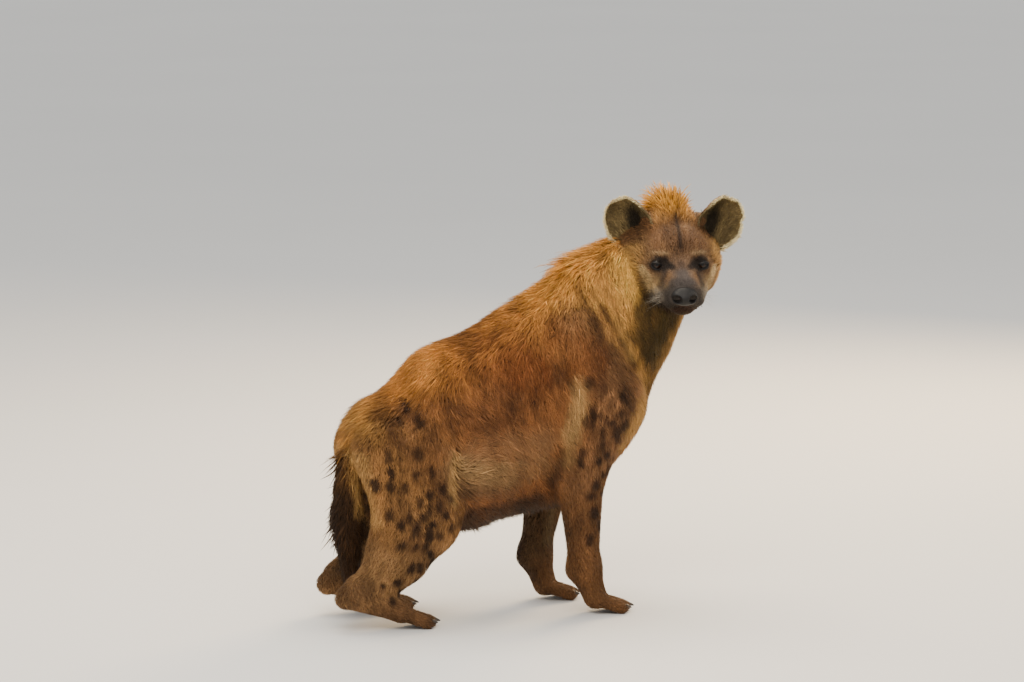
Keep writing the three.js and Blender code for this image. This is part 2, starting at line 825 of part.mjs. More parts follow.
// The line of the closed mouth: a thin blade that follows the lips from one corner to the other.
function mouthBlade() {
  const stations = 16;
  const widest = THREE.MathUtils.degToRad(112);
  const rings = [];
  for (let k = 0; k <= stations; k++) {
    const share = (2 * k) / stations - 1;
    const swing = widest * share;
    const height = -80 + 12 * share * share;
    const centre = inHead(26, 0, height);
    const out = headDirection(Math.cos(swing), Math.sin(swing), 0);
    const skin = surfaceAlong(centre, out, 170);
    const depth = 7 * (1 - share ** 4) + 1;
    const point = (t, rise) => centre.clone().addScaledVector(out, t).addScaledVector(UPWARD, rise);
    const deep = skin - depth;
    const outer = skin + 8;
    rings.push([point(deep, -0.6), point(outer, -2), point(outer, 2), point(deep, 0.6)]);
  }
  return skinned(rings);
}

// The cup of an ear: a rounded, curled leaf with a thick root and a thin edge.
function earCup(side) {
  const rows = 9;
  const columns = 8;
  const foot = inHead(-98, side * 86, 27);
  const rise = headDirection(-0.16, side * 0.32, 0.93);
  const open = headDirection(0.92, side * 0.26, 0.02);
  open.addScaledVector(rise, -open.dot(rise)).normalize();
  const across = rise.clone().cross(open).normalize();
  const width = (s) => {
    const lower = 0.5 + 0.5 * Math.sin(Math.PI * 0.5 * Math.min(s / 0.42, 1));
    const upper = Math.sqrt(Math.max(1 - (Math.max(s - 0.5, 0) / 0.52) ** 2.4, 0));
    return (EAR.width / 2) * lower * upper;
  };
  const leaf = (s, a, inset) => {
    const curl = THREE.MathUtils.degToRad(EAR.curl + 40 * Math.max(0.35 - s, 0));
    const radius = width(s) / Math.sin(curl);
    const turn = a * curl;
    return foot
      .clone()
      .addScaledVector(rise, EAR.height * s)
      .addScaledVector(across, (radius - inset) * Math.sin(turn))
      .addScaledVector(open, radius * Math.cos(curl) - (radius - inset) * Math.cos(turn) + EAR.forward);
  };
  const places = [];
  const index = (layer, r, c) => (layer * (rows + 1) + r) * (columns + 1) + c;
  for (const layer of [0, 1]) {
    for (let r = 0; r <= rows; r++) {
      for (let c = 0; c <= columns; c++) {
        const s = (0.98 * r) / rows;
        const a = (2 * c) / columns - 1;
        const thick = THREE.MathUtils.lerp(EAR.root, EAR.edge, Math.min(2 * s, 1));
        const p = leaf(s, a, layer * Math.min(thick, 0.6 * width(s)));
        places.push(p.x, p.y, p.z);
      }
    }
  }
  const triangles = [];
  const quad = (p, q, r, s) => triangles.push(p, q, r, p, r, s);
  for (let r = 0; r < rows; r++) {
    for (let c = 0; c < columns; c++) {
      quad(index(0, r, c), index(0, r, c + 1), index(0, r + 1, c + 1), index(0, r + 1, c));
      quad(index(1, r, c), index(1, r + 1, c), index(1, r + 1, c + 1), index(1, r, c + 1));
    }
  }
  for (let r = 0; r < rows; r++) {
    quad(index(0, r, 0), index(0, r + 1, 0), index(1, r + 1, 0), index(1, r, 0));
    quad(index(0, r, columns), index(1, r, columns), index(1, r + 1, columns), index(0, r + 1, columns));
  }
  for (let c = 0; c < columns; c++) {
    quad(index(0, 0, c), index(1, 0, c), index(1, 0, c + 1), index(0, 0, c + 1));
    quad(index(0, rows, c), index(0, rows, c + 1), index(1, rows, c + 1), index(1, rows, c));
  }
  return facingOut({ places, triangles });
}

// A claw curves down from the toe's tip; grown by an amount, it cuts its own socket.
function claw(tip, grow) {
  const rings = [];
  const stations = 2;
  for (let k = 0; k < stations; k++) {
    const share = k / stations;
    const along = -CLAW.sunk - grow + (CLAW.length + grow) * share;
    const drop = -5 * share * share;
    const radius = CLAW.radius * (1 - 0.45 * share) + grow;
    const centre = tip.clone().add(v(TOE_RADIUS - 2 + along, 0, 6 + drop));
    rings.push(ringAround(centre, v(0, 1, 0), v(0, 0, 1), radius * 0.75, radius, 5));
  }
  const end = tip.clone().add(v(TOE_RADIUS - 2 - CLAW.sunk + CLAW.length + grow, 0, 0));
  rings.push(ringAround(end, v(0, 1, 0), v(0, 0, 1), 0.9 + grow, 0.9 + grow, 5));
  return skinned(rings);
}

function toeTips(leg) {
  return toeMuscles(leg, FORE_LEGS.includes(leg) ? FORE_FOOT : HIND_FOOT).map((muscle) => muscle.to);
}

// A small repeatable source of numbers from 0 to 1.
function seeded(seed) {
  let state = seed;
  return () => {
    state = (state * 1664525 + 1013904223) % 4294967296;
    return state / 4294967296;
  };
}

// The direction in which a field rises fastest, which is the surface's outward normal.
function outwardAt(muscles, p) {
  const rise = (x, y, z) => bodyDistance(muscles, p.clone().add(v(x, y, z))) - bodyDistance(muscles, p);
  return v(rise(2, 0, 0), rise(0, 2, 0), rise(0, 0, 2)).normalize();
}

// One flat, tapering, bent lock of hair: it stands up from under the surface and leans into the flow.
function lock(root, outward, flow, size) {
  const lie = flow.clone().addScaledVector(outward, -flow.dot(outward)).normalize();
  const across = outward.clone().cross(lie).normalize();
  const spine = (t) =>
    root
      .clone()
      .addScaledVector(outward, -size.sunk + (size.sunk + size.rise) * Math.sin((t * Math.PI) / 2))
      .addScaledVector(lie, size.lean * t * (0.3 + 0.7 * t))
      .addScaledVector(across, size.sway * t * t);
  const rings = [0, 0.42, 0.76].map((t) => {
    const ahead = spine(t + 0.05).sub(spine(t)).normalize();
    const flat = across.clone().addScaledVector(ahead, -across.dot(ahead)).normalize();
    const half = 0.5 - 0.375 * t ** 1.4;
    return ringAround(spine(t), flat, ahead.clone().cross(flat), size.width * half, size.thick * half, 4);
  });
  return skinned(rings, spine(1));
}

// Rows of locks over a stretch of coat. They are rooted where rays from a guide line inside the
// body meet the skin, and lean along the guide, short of the border of their own part.
function locksOver({ muscles = BODY, guide, rows, columns, turn, along, size, border = null, seed }) {
  const line = new THREE.CatmullRomCurve3(guide);
  const chance = seeded(seed);
  const vary = (amount) => 1 + amount * (2 * chance() - 1);
  const locks = [];
  for (let r = 0; r < rows; r++) {
    for (let c = 0; c < columns; c++) {
      const stagger = (r % 2) * 0.5;
      const t = Math.min((r + 0.5 + 0.3 * (chance() - 0.5)) / rows, 1);
      const swing = columns > 1 ? (c + stagger - (columns - 0.5) / 2) / (columns - 1) : 0;
      const angle = THREE.MathUtils.degToRad(turn.middle + turn.spread * (swing + 0.1 * (chance() - 0.5)));
      const from = line.getPointAt(t);
      const tangent = line.getTangentAt(t);
      const up = v(0, 0, 1).addScaledVector(tangent, -tangent.z).normalize();
      const side = tangent.clone().cross(up);
      const ray = up.multiplyScalar(Math.cos(angle)).addScaledVector(side, Math.sin(angle));
      const root = from.clone().addScaledVector(ray, surfaceAlong(from, ray, 260, muscles));
      const room = border ? border.d - border.n.dot(root) - size.width / 2 - GAP : size.lean;
      locks.push(
        lock(root, outwardAt(muscles, root), tangent.clone().multiplyScalar(along), {
          ...size,
          rise: size.rise * vary(0.25),
          lean: Math.min(Math.max(room, 4), size.lean * vary(0.2)),
          width: size.width * vary(0.2),
          sway: size.width * 0.4 * (2 * chance() - 1),
        }),
      );
    }
  }
  return locks;
}

function nostrils() {
  return [RIGHT, LEFT].map(
    (s) => new Muscle(inHead(138, s * 9, -60), inHead(122, s * 21, -52), [6, 5], [5, 4], 5, LEFTWARD),
  );
}

const BACK_LINE = [v(-300, 0, 400), v(-140, 0, 520), v(60, 0, 600), v(190, 0, 660)];
const BELLY_LINE = [v(-110, 0, 330), v(20, 0, 350), v(110, 0, 380)];

// Locks of the mane: a tuft between the ears, both sides of the neck's ridge, and a low back line.
function crownLocks() {
  return locksOver({
    guide: [inHead(-150, -14, 40), inHead(-118, 0, 40), inHead(-84, 0, 40)],
    rows: 3,
    columns: 5,
    turn: { middle: 0, spread: 54 },
    along: -1,
    size: { sunk: 14, rise: 48, lean: 20, width: 34, thick: 12 },
    seed: 11,
  });
}

function napeLocks() {
  return locksOver({
    guide: [v(356, -16, 800), v(392, -22, 826), inHead(-134, 0, 30)],
    rows: 3,
    columns: 3,
    turn: { middle: 0, spread: 44 },
    along: -1,
    size: { sunk: 14, rise: 40, lean: 34, width: 34, thick: 11 },
    border: HEAD_START,
    seed: 17,
  });
}

function neckLocks() {
  return locksOver({
    guide: [v(214, -2, 700), v(270, -6, 740), v(340, -14, 790)],
    rows: 7,
    columns: 4,
    turn: { middle: 0, spread: 84 },
    along: -1,
    size: { sunk: 12, rise: 32, lean: 42, width: 32, thick: 10 },
    border: NECK_START,
    seed: 23,
  });
}

function backLocks() {
  return locksOver({
    guide: BACK_LINE,
    rows: 9,
    columns: 3,
    turn: { middle: 0, spread: 44 },
    along: -1,
    size: { sunk: 10, rise: 13, lean: 60, width: 40, thick: 9 },
    seed: 37,
  });
}

function bellyLocks() {
  return locksOver({
    guide: BELLY_LINE,
    rows: 5,
    columns: 3,
    turn: { middle: 180, spread: 44 },
    along: -1,
    size: { sunk: 10, rise: 18, lean: 38, width: 36, thick: 9 },
    seed: 41,
  });
}

function tailLocks() {
  return locksOver({
    muscles: tailMuscles(),
    guide: [v(-364, -6, 372), v(-373, -12, 250), v(-366, -16, 120)],
    rows: 6,
    columns: 4,
    turn: { middle: 0, spread: 270 },
    along: 1,
    size: { sunk: 8, rise: 5, lean: 66, width: 26, thick: 7 },
    seed: 53,
  });
}

function fused(solid, locks) {
  return locks.reduce((whole, piece) => whole.add(piece), solid);
}

// The tail hangs clear of the trunk; its own field never blends into the body.
const TAIL_START = halfSpace(v(0.76, 0, 0.65), v(-322, 0, 430));

function tailMesh() {
  const muscles = tailMuscles();
  const keep = (x, y, z) => regionDistance([TAIL_START], x, y, z);
  return simplify(surfaceOf(sampleField(muscles, boundsOf(muscles, 20), 7, keep)), 300);
}

// The same closed mesh with every corner moved out along the surface.
function swollen({ places, triangles }, amount) {
  const geometry = new THREE.BufferGeometry();
  geometry.setAttribute("position", new THREE.Float32BufferAttribute(places, 3));
  geometry.setIndex(triangles);
  geometry.computeVertexNormals();
  const normal = geometry.getAttribute("normal").array;
  return { places: places.map((value, i) => value + normal[i] * amount), triangles };
}

function meshOf(name, solid, colour, roughness = 0.85) {
  const { numProp, vertProperties, triVerts } = largestOf(solid).getMesh();
  const geometry = new THREE.BufferGeometry();
  const places = new Float32Array((vertProperties.length / numProp) * 3);
  for (let i = 0; i < places.length / 3; i++) {
    places.set(vertProperties.subarray(i * numProp, i * numProp + 3), i * 3);
  }
  geometry.setAttribute("position", new THREE.BufferAttribute(places, 3));
  geometry.setIndex(new THREE.BufferAttribute(triVerts, 1));
  geometry.computeVertexNormals();
  const material = new THREE.MeshStandardMaterial({ color: colour, roughness, metalness: 0 });
  const mesh = new THREE.Mesh(geometry, material);
  mesh.name = name;
  return mesh;
}

function headNodes() {
  const sides = [
    { name: "right", side: RIGHT },
    { name: "left", side: LEFT },
  ];
  const around = [...headMuscles(), neckMuscles()[1], maneMuscles()[2]];
  let head = fused(fleshIn(HEAD_REGION, around, 4.5, 2200), [...crownLocks(), ...napeLocks()]);
  head = trimmed(head, HEAD_REGION, -HALF_GAP).subtract(regionSolid(NOSE_REGION, HALF_GAP));
  const nodes = [];
  for (const { name, side } of sides) {
    const cup = earCup(side);
    nodes.push(meshOf(`ear_${name}`, solidOf(cup), COLOURS.ear));
    head = head.subtract(solidOf(swollen(cup, 3 * GAP))).subtract(solidOf(cup));
  }
  for (const { name, side } of sides) {
    const centre = eyeCentre(side);
    head = head.add(lid(side, 1)).add(lid(side, -1)).subtract(ball(centre, EYE.radius + GAP));
    nodes.push(meshOf(`eye_${name}`, ball(centre, EYE.radius), COLOURS.eye, 0.15));
  }
  head = head.subtract(mouthBlade());
  nodes.push(meshOf("head", head, COLOURS.head));
  const noseAround = [new Muscle(inHead(110, 0, -42), inHead(125, 0, -46), [46, 40], [44, 38], 8, LEFTWARD)];
  nodes.push(meshOf("nose", fleshIn(NOSE_REGION, noseAround, 2.5, 320, nostrils()), COLOURS.nose, 0.4));
  return nodes;
}

function legNodes(leg, tailSpace) {
  const fore = FORE_LEGS.includes(leg);
  const muscles = fore ? foreLegMuscles(leg) : hindLegMuscles(leg);
  let solid = fleshIn(legRegion(leg), muscles, 6, 800);
  solid = solid.trimByPlane([0, 0, 1], 0);
  if (!fore) {
    solid = solid.subtract(tailSpace);
  }
  const claws = toeTips(leg).map((tip, toe) => {
    solid = solid.subtract(claw(tip, GAP));
    return meshOf(`${leg.name}_claw_${toe + 1}`, claw(tip, 0), COLOURS.claw, 0.5);
  });
  return [meshOf(leg.name, solid, COLOURS.leg), ...claws];
}

function torsoNode(tailSpace) {
  const legTops = [
    ...FORE_LEGS.flatMap((leg) => foreLegMuscles(leg).slice(0, 3)),
    ...HIND_LEGS.flatMap((leg) => hindLegMuscles(leg).slice(0, 2)),
  ];
  const bounds = boundsOf([...trunkMuscles(), maneMuscles()[0], ...legTops], 20);
  const legRegions = LEGS.map(legRegion);
  const spare = 14;
  const keep = (x, y, z) => {
    const neck = regionDistance([opposite(NECK_START)], x, y, z) - spare;
    const legs = Math.max(...legRegions.map((region) => -regionDistance(region, x, y, z) - spare));
    return Math.max(neck, legs);
  };
  const flesh = solidOf(simplify(surfaceOf(sampleField(BODY, bounds, 9, keep)), 1900));
  let solid = trimmed(fused(flesh, [...backLocks(), ...bellyLocks()]), [opposite(NECK_START)], -HALF_GAP);
  for (const region of legRegions) {
    solid = solid.subtract(regionSolid(region, HALF_GAP));
  }
  return meshOf("torso", solid.subtract(tailSpace), COLOURS.coat);
}

function neckNode() {
  const chest = trunkMuscles()[4];
  const blades = FORE_LEGS.map((leg) => foreLegMuscles(leg)[0]);
  const around = [...neckMuscles(), ...maneMuscles(), chest, ...blades];
  const neck = fused(fleshIn(NECK_REGION, around, 8, 640), neckLocks());
  return meshOf("neck", trimmed(neck, NECK_REGION, -HALF_GAP), COLOURS.coat);
}

function hyena() {
  const group = new THREE.Group();
  group.name = "spotted_hyena";
  const tail = tailMesh();
  const tailSpace = solidOf(swollen(tail, 3 * GAP));
  const tailSolid = fused(solidOf(tail), tailLocks());
  group.add(torsoNode(tailSpace), neckNode(), meshOf("tail", tailSolid, COLOURS.tail), ...headNodes());
  for (const leg of LEGS) {
    group.add(...legNodes(leg, tailSpace));
  }
  const box = new THREE.Box3().setFromObject(group);
  const middle = box.getCenter(v());
  group.position.set(-middle.x, -middle.y, -box.min.z);
  return group;
}

export default hyena();
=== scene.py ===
"""Looks of a spotted hyena: an adult, life size, as a still museum model.

One skin is meshed from the same tapered muscles as the CAD solids, set inside them by the depth of
the coat, and the coat is thousands of closed, tapered tufts that follow its lie. Sizes here are
millimetres in the design's own axes: +X to the head end, +Y to the animal's left, +Z up.
"""

from __future__ import annotations

import logging
import math
from dataclasses import dataclass, field
from enum import Enum
from itertools import product
from typing import Any, Callable, Sequence

import bmesh
import bpy
import numpy as np
from mathutils import Matrix, Vector


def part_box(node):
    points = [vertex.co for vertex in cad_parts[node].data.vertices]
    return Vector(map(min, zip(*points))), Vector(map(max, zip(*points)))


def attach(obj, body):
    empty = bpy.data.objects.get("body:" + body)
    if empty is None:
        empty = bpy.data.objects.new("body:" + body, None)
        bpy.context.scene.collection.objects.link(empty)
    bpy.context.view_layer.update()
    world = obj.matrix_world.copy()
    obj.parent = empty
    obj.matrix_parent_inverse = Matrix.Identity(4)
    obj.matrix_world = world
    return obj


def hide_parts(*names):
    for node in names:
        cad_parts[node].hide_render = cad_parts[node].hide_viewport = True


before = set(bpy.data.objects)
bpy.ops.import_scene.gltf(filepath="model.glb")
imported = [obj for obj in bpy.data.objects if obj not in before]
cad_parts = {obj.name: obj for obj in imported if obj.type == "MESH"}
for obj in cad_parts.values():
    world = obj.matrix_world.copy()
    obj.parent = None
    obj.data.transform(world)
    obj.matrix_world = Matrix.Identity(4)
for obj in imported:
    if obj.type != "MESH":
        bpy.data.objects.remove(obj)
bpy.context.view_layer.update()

LOG = logging.getLogger("hyena")
Array = np.ndarray
METRES = 0.001
BODY = "root"
RIGHT = -1
LEFT = 1
SIDE_WORDS = {RIGHT: "right", LEFT: "left"}

# The colours stored at the vertices, and the UV map that gives each tuft a patch of its own.
MARKINGS = "Markings"
BAKE_MAP = "OFBake"

# Only the head and the top of the neck are above this height, and only the feet below the other.
HEAD_FLOOR = 690
FOOT_TOP = 60

# A claw starts this far past the end of a toe's middle line.
CLAW_START = 4
CLAW_LENGTH = 21


def linear(hex_colour: str) -> Array:
    """Turns an sRGB hex colour into linear red, green and blue.

    Args:
        hex_colour: a colour such as "#a0b0c0".

    Returns:
        Three numbers from 0 to 1.
    """
    value = np.array([int(hex_colour[i : i + 2], 16) for i in (1, 3, 5)]) / 255
    return np.where(value <= 0.04045, value / 12.92, ((value + 0.055) / 1.055) ** 2.4)


def rgba(hex_colour: str) -> tuple[float, ...]:
    """The linear colour with a full alpha, as a node socket takes it."""
    return (*(float(c) for c in linear(hex_colour)), 1.0)


def unit(vectors: Array) -> Array:
    """Scales each vector along the last axis to length one."""
    vectors = np.asarray(vectors, float)
    return vectors / (np.linalg.norm(vectors, axis=-1, keepdims=True) + 1e-9)


def smooth_step(value: Array, low: float, high: float) -> Array:
    """Eases from 0 at low to 1 at high."""
    share = np.clip((value - low) / (high - low), 0, 1)
    return share * share * (3 - 2 * share)


def smooth_union(a: Array, b: Array, blend: float) -> Array:
    """Union of two distances with a rounded seam as wide as the blend."""
    share = np.clip(0.5 + 0.5 * (b - a) / blend, 0, 1)
    return b + (a - b) * share - blend * share * (1 - share)


def smooth_cut(a: Array, b: Array, blend: float) -> Array:
    """The first distance with the second's inside cut out of it, and a rounded edge."""
    return -smooth_union(-a, b, blend)


class Noise:
    """Smooth repeatable noise over space, from a lattice of random values."""

    SIZE = 32

    def __init__(self, seed: int) -> None:
        """Fills the lattice from a seed."""
        self.lattice = np.random.default_rng(seed).random((self.SIZE,) * 3)

    def at(self, points: Array, scale: Array | float) -> Array:
        """Reads the noise.

        Args:
            points: places, in mm.
            scale: distance between lattice values, in mm, one for all axes or one each.

        Returns:
            One value from -1 to 1 for each place.
        """
        place = np.asarray(points) / scale + 100.0
        base = np.floor(place).astype(int)
        share = place - base
        share = share * share * (3 - 2 * share)
        total = np.zeros(len(place))
        for corner in np.ndindex(2, 2, 2):
            weight = np.prod(np.where(corner, share, 1 - share), axis=1)
            i, j, k = ((base + corner) % self.SIZE).T
            total += weight * self.lattice[i, j, k]
        return 2 * total - 1


@dataclass(frozen=True)
class HeadFrame:
    """The head's own axes: forward along the nose, to its left, and up, from between the eyes."""

    eye_middle: tuple[float, float, float] = (401, -150, 832)
    turn_deg: float = -105
    dip_deg: float = 6.5

    def axes(self) -> Array:
        """The three axes as rows: forward, leftward, upward."""
        turn = math.radians(self.turn_deg)
        dip = math.radians(self.dip_deg)
        level = math.cos(dip)
        forward = np.array([level * math.cos(turn), level * math.sin(turn), -math.sin(dip)])
        leftward = unit(np.cross((0, 0, 1), forward))
        return np.array([forward, leftward, np.cross(forward, leftward)])

    def place(self, *local: float) -> Array:
        """A point given in the head's own axes."""
        return np.array(self.eye_middle) + np.array(local) @ self.axes()

    def direction(self, *local: float) -> Array:
        """A unit direction given in the head's own axes."""
        return unit(np.array(local, float) @ self.axes())

    def local(self, points: Array) -> Array:
        """Points of the body in the head's own axes."""
        return (points - np.array(self.eye_middle)) @ self.axes().T


HEAD = HeadFrame()


@dataclass(frozen=True)
class Growth:
    """How the coat grows on one stretch of the body, in mm.

    depth is from the skin to the coat's outside, stand is how far tips pass that outside, and
    clump is the share by which tips draw together into locks.
    """

    depth: float
    length: float
    width: float
    spacing: float
    stand: float
    clump: float
    root: str
    tip: str

    def sizes(self) -> list[float]:
        """The six numbers in the order of GROWTH_KEYS."""
        return [self.depth, self.length, self.width, self.spacing, self.stand, self.clump]


GROWTH_KEYS = ("depth", "length", "width", "spacing", "stand", "clump")


class Zone(Enum):
    """The stretches of the coat."""

    BACK = Growth(14, 44, 2.7, 3.0, 5, 0.4, "#a4652e", "#d8903f")
    FLANK = Growth(14, 44, 2.7, 3.0, 2, 0.42, "#623b24", "#98633a")
    # BELLY's colours are the belly's brown darkened to near black: painted shade of the underside.
    BELLY = Growth(13, 44, 2.9, 3.1, 14, 0.5, "#2a1a11", "#3d2918")
    CHEST = Growth(12, 36, 2.6, 3.0, 2, 0.4, "#7c522a", "#a5743c")
    RUMP = Growth(12, 34, 2.6, 3.0, 4, 0.34, "#a66a31", "#d09549")
    NECK = Growth(13, 38, 2.4, 2.7, 3, 0.22, "#b67a41", "#dba55a")
    # THROAT's dark olive is the throat's own tone, darkened as painted shade under the chin.
    THROAT = Growth(9, 30, 2.5, 2.9, 2, 0.3, "#302810", "#463a1c")
    # The golden tips of MANE and CROWN are the hair's own pale tips, made brighter and more golden as
    # painted rim light.
    MANE = Growth(16, 62, 2.4, 2.6, 22, 0.42, "#a15822", "#dc9734")
    CROWN = Growth(10, 56, 2.0, 2.0, 36, 0.25, "#6c2403", "#e8a204")
    SKULL = Growth(3.6, 13, 1.7, 2.1, 0.8, 0.25, "#593c24", "#715032")
    FACE = Growth(2.6, 9, 1.5, 1.9, 0.3, 0.2, "#69492c", "#84623e")
    MUZZLE = Growth(1.1, 5, 1.1, 1.7, 0.1, 0.1, "#5c4735", "#6e5743")
    RUFF = Growth(4, 24, 2.0, 2.4, 8, 0.3, "#74532d", "#a87f46")
    SHOULDER = Growth(8, 28, 2.4, 2.9, 2, 0.4, "#634129", "#8c6543")
    THIGH = Growth(7, 25, 2.4, 2.9, 2, 0.38, "#7a542f", "#9c7042")
    FORELEG = Growth(3.5, 15, 1.9, 2.6, 2.5, 0.3, "#573a23", "#724f31")
    HINDLEG = Growth(4, 15, 1.9, 2.6, 2.5, 0.3, "#795736", "#99744b")
    FOOT = Growth(2.2, 8, 1.6, 2.3, 0.3, 0.2, "#553a24", "#705032")
    TAIL = Growth(13, 58, 2.6, 2.8, 6, 0.5, "#1e130b", "#382412")


ZONES = list(Zone)
HEAD_ZONES = (Zone.SKULL, Zone.FACE, Zone.MUZZLE, Zone.RUFF)
HEAD_COLUMNS = [ZONES.index(zone) for zone in HEAD_ZONES]


@dataclass
class Muscle:
    """One tapered oval body between two points, with radii to its side and across it."""

    start: Array
    end: Array
    start_radii: tuple[float, float]
    end_radii: tuple[float, float]
    blend: float
    zone: Zone
    flow: tuple[float, float, float] | None = None
    side: Array | tuple[float, float, float] = (0.0, 1.0, 0.0)

    def __post_init__(self) -> None:
        """Works out the body's own axes and the lie of the coat on it."""
        self.start = np.asarray(self.start, float)
        self.end = np.asarray(self.end, float)
        run = self.end - self.start
        self.length = float(np.linalg.norm(run))
        self.axis = run / self.length
        side = np.asarray(self.side, float)
        self.side = unit(side - side.dot(self.axis) * self.axis)
        self.across = np.cross(self.axis, self.side)
        self.lie = unit(self.axis if self.flow is None else np.array(self.flow))

    def distance(self, points: Array) -> Array:
        """Distance from the muscle's surface, negative inside."""
        offset = points - self.start
        along = offset @ self.axis
        share = np.clip(along / self.length, 0, 1)
        ease = share * share * (3 - 2 * share)
        side_radius = self.start_radii[0] + (self.end_radii[0] - self.start_radii[0]) * ease
        across_radius = self.start_radii[1] + (self.end_radii[1] - self.start_radii[1]) * ease
        end_radius = np.sqrt(side_radius * across_radius)
        a = (along - share * self.length) / end_radius
        s = (offset @ self.side) / side_radius
        c = (offset @ self.across) / across_radius
        near = np.sqrt(a * a + s * s + c * c) + 1e-4
        slope = np.sqrt((a / end_radius) ** 2 + (s / side_radius) ** 2 + (c / across_radius) ** 2)
        inner = -np.minimum(side_radius, across_radius)
        return np.where(near < 1e-3, inner, near * (near - 1) / (slope + 1e-9))

    def box(self, margin: float) -> tuple[Array, Array]:
        """Lowest and highest corner of the muscle with a margin."""
        reach = max(*self.start_radii, *self.end_radii) + margin
        return np.minimum(self.start, self.end) - reach, np.maximum(self.start, self.end) + reach


@dataclass
class ForeLeg:
    """Joints of one foreleg, from the shoulder blade to the toes."""

    side: int
    blade: tuple[float, float, float]
    shoulder: tuple[float, float, float]
    elbow: tuple[float, float, float]
    wrist: tuple[float, float, float]
    knuckle: tuple[float, float, float]
    toe: tuple[float, float, float]
    spread: float = 19
    shortening: float = 14

    def muscles(self) -> list[Muscle]:
        """Muscles of the leg from the top down."""
        blade, shoulder, elbow = (np.array(p, float) for p in (self.blade, self.shoulder, self.elbow))
        wrist, knuckle = (np.array(p, float) for p in (self.wrist, self.knuckle))
        triceps = elbow + (blade - elbow) * 0.35 + (-22, 0, 18)
        pad = wrist + (-24, 0, 2)
        down = (0, 0, -1)
        return [
            Muscle(blade, shoulder, (44, 66), (56, 74), 45, Zone.SHOULDER, (0.15, 0, -1)),
            Muscle(shoulder, elbow, (54, 78), (50, 66), 40, Zone.SHOULDER, down),
            Muscle(triceps, elbow, (44, 58), (40, 46), 35, Zone.SHOULDER, (-0.25, 0, -1)),
            Muscle(elbow, wrist, (43, 55), (31, 36), 30, Zone.FORELEG),
            Muscle(wrist + (0, 0, 10), wrist, (33, 38), (33, 38), 15, Zone.FORELEG, down),
            Muscle(pad, wrist + (-30, 0, -8), (13, 13), (12, 12), 14, Zone.FOOT, down),
            Muscle(wrist, knuckle, (32, 35), (36, 28), 18, Zone.FOOT),
            *toe_muscles(self),
        ]


@dataclass
class HindLeg:
    """Joints of one hind leg, from the hip to the toes."""

    side: int
    hip: tuple[float, float, float]
    knee: tuple[float, float, float]
    hock: tuple[float, float, float]
    heel: tuple[float, float, float]
    knuckle: tuple[float, float, float]
    toe: tuple[float, float, float]
    spread: float = 17
    shortening: float = 12

    def muscles(self) -> list[Muscle]:
        """Muscles of the leg from the top down."""
        hip, knee, hock = (np.array(p, float) for p in (self.hip, self.knee, self.hock))
        heel, knuckle = (np.array(p, float) for p in (self.heel, self.knuckle))
        shank = knee + (hock - knee) * 0.55 + (20, 0, 4)
        down = (-0.08, 0, -1)
        kneecap = (-0.2, 0, -1)
        calf = (-0.55, 0, -0.8)
        return [
            Muscle(hip, knee, (58, 108), (50, 78), 50, Zone.THIGH, down),
            Muscle(hip + (-14, 0, -20), knee + (-70, 0, -14), (50, 76), (46, 66), 40, Zone.THIGH, down),
            Muscle(knee + (14, 0, 10), knee + (2, 0, -26), (38, 46), (38, 46), 35, Zone.THIGH, kneecap),
            Muscle(knee + (-22, 0, -22), shank, (46, 82), (37, 70), 50, Zone.HINDLEG, (-0.3, 0, -1)),
            Muscle(shank, hock + (34, 0, 4), (37, 70), (29, 50), 30, Zone.HINDLEG, calf),
            Muscle(hock, heel, (26, 30), (21, 22), 20, Zone.HINDLEG, calf),
            Muscle(hock, knuckle, (29, 36), (34, 28), 26, Zone.FOOT, (0.9, 0, -0.4)),
            *toe_muscles(self),
        ]


def toe_place(leg: ForeLeg | HindLeg, place: float, root: Sequence[float], tip: Sequence[float]) -> tuple:
    """Both ends of a part of the foot, at a place across it counted in toes from the middle."""
    first = np.array(leg.knuckle, float) + (root[0], place * leg.spread * 0.9, root[1])
    last = np.array(leg.toe, float) + (tip[0], place * leg.spread * 1.12, tip[1])
    return first, last


def toe_muscles(leg: ForeLeg | HindLeg) -> list[Muscle]:
    """The four toes of a foot; the outer two end a little short."""
    muscles = []
    for place in (-1.5, -0.5, 0.5, 1.5):
        reach = -leg.shortening if abs(place) > 1 else 0
        ends = toe_place(leg, place, (0, -3), (reach, 0))
        muscles.append(Muscle(*ends, (12.5, 16.5), (12, 15), 9, Zone.FOOT))
    return muscles


def toe_grooves(leg: ForeLeg | HindLeg) -> list[Muscle]:
    """The three clefts between the toes of a foot."""
    clefts = []
    for place in (-1, 0, 1):
        ends = toe_place(leg, place, (12, 9), (12 - 0.5 * leg.shortening * abs(place), 5))
        clefts.append(Muscle(*ends, (2.4, 8), (3.4, 11), 4, Zone.FOOT))
    return clefts


FORE_LEGS = {
    "foreleg_right": ForeLeg(
        *(RIGHT, (176, -76, 682), (250, -108, 500), (168, -112, 362)),
        *((186, -97, 112), (214, -96, 40), (284, -96, 13)),
    ),
    "foreleg_left": ForeLeg(
        *(LEFT, (170, 76, 682), (250, 108, 500), (182, 112, 352)),
        *((134, 97, 112), (158, 96, 40), (226, 96, 13)),
    ),
}
HIND_LEGS = {
    "hindleg_right": HindLeg(
        *(RIGHT, (-264, -82, 424), (-208, -122, 270), (-380, -108, 90)),
        *((-412, -108, 80), (-278, -110, 42), (-206, -110, 13)),
    ),
    "hindleg_left": HindLeg(
        *(LEFT, (-264, 82, 424), (-194, 122, 270), (-358, 108, 86)),
        *((-388, 108, 72), (-256, 110, 40), (-184, 110, 13)),
    ),
}
LEGS = {**FORE_LEGS, **HIND_LEGS}


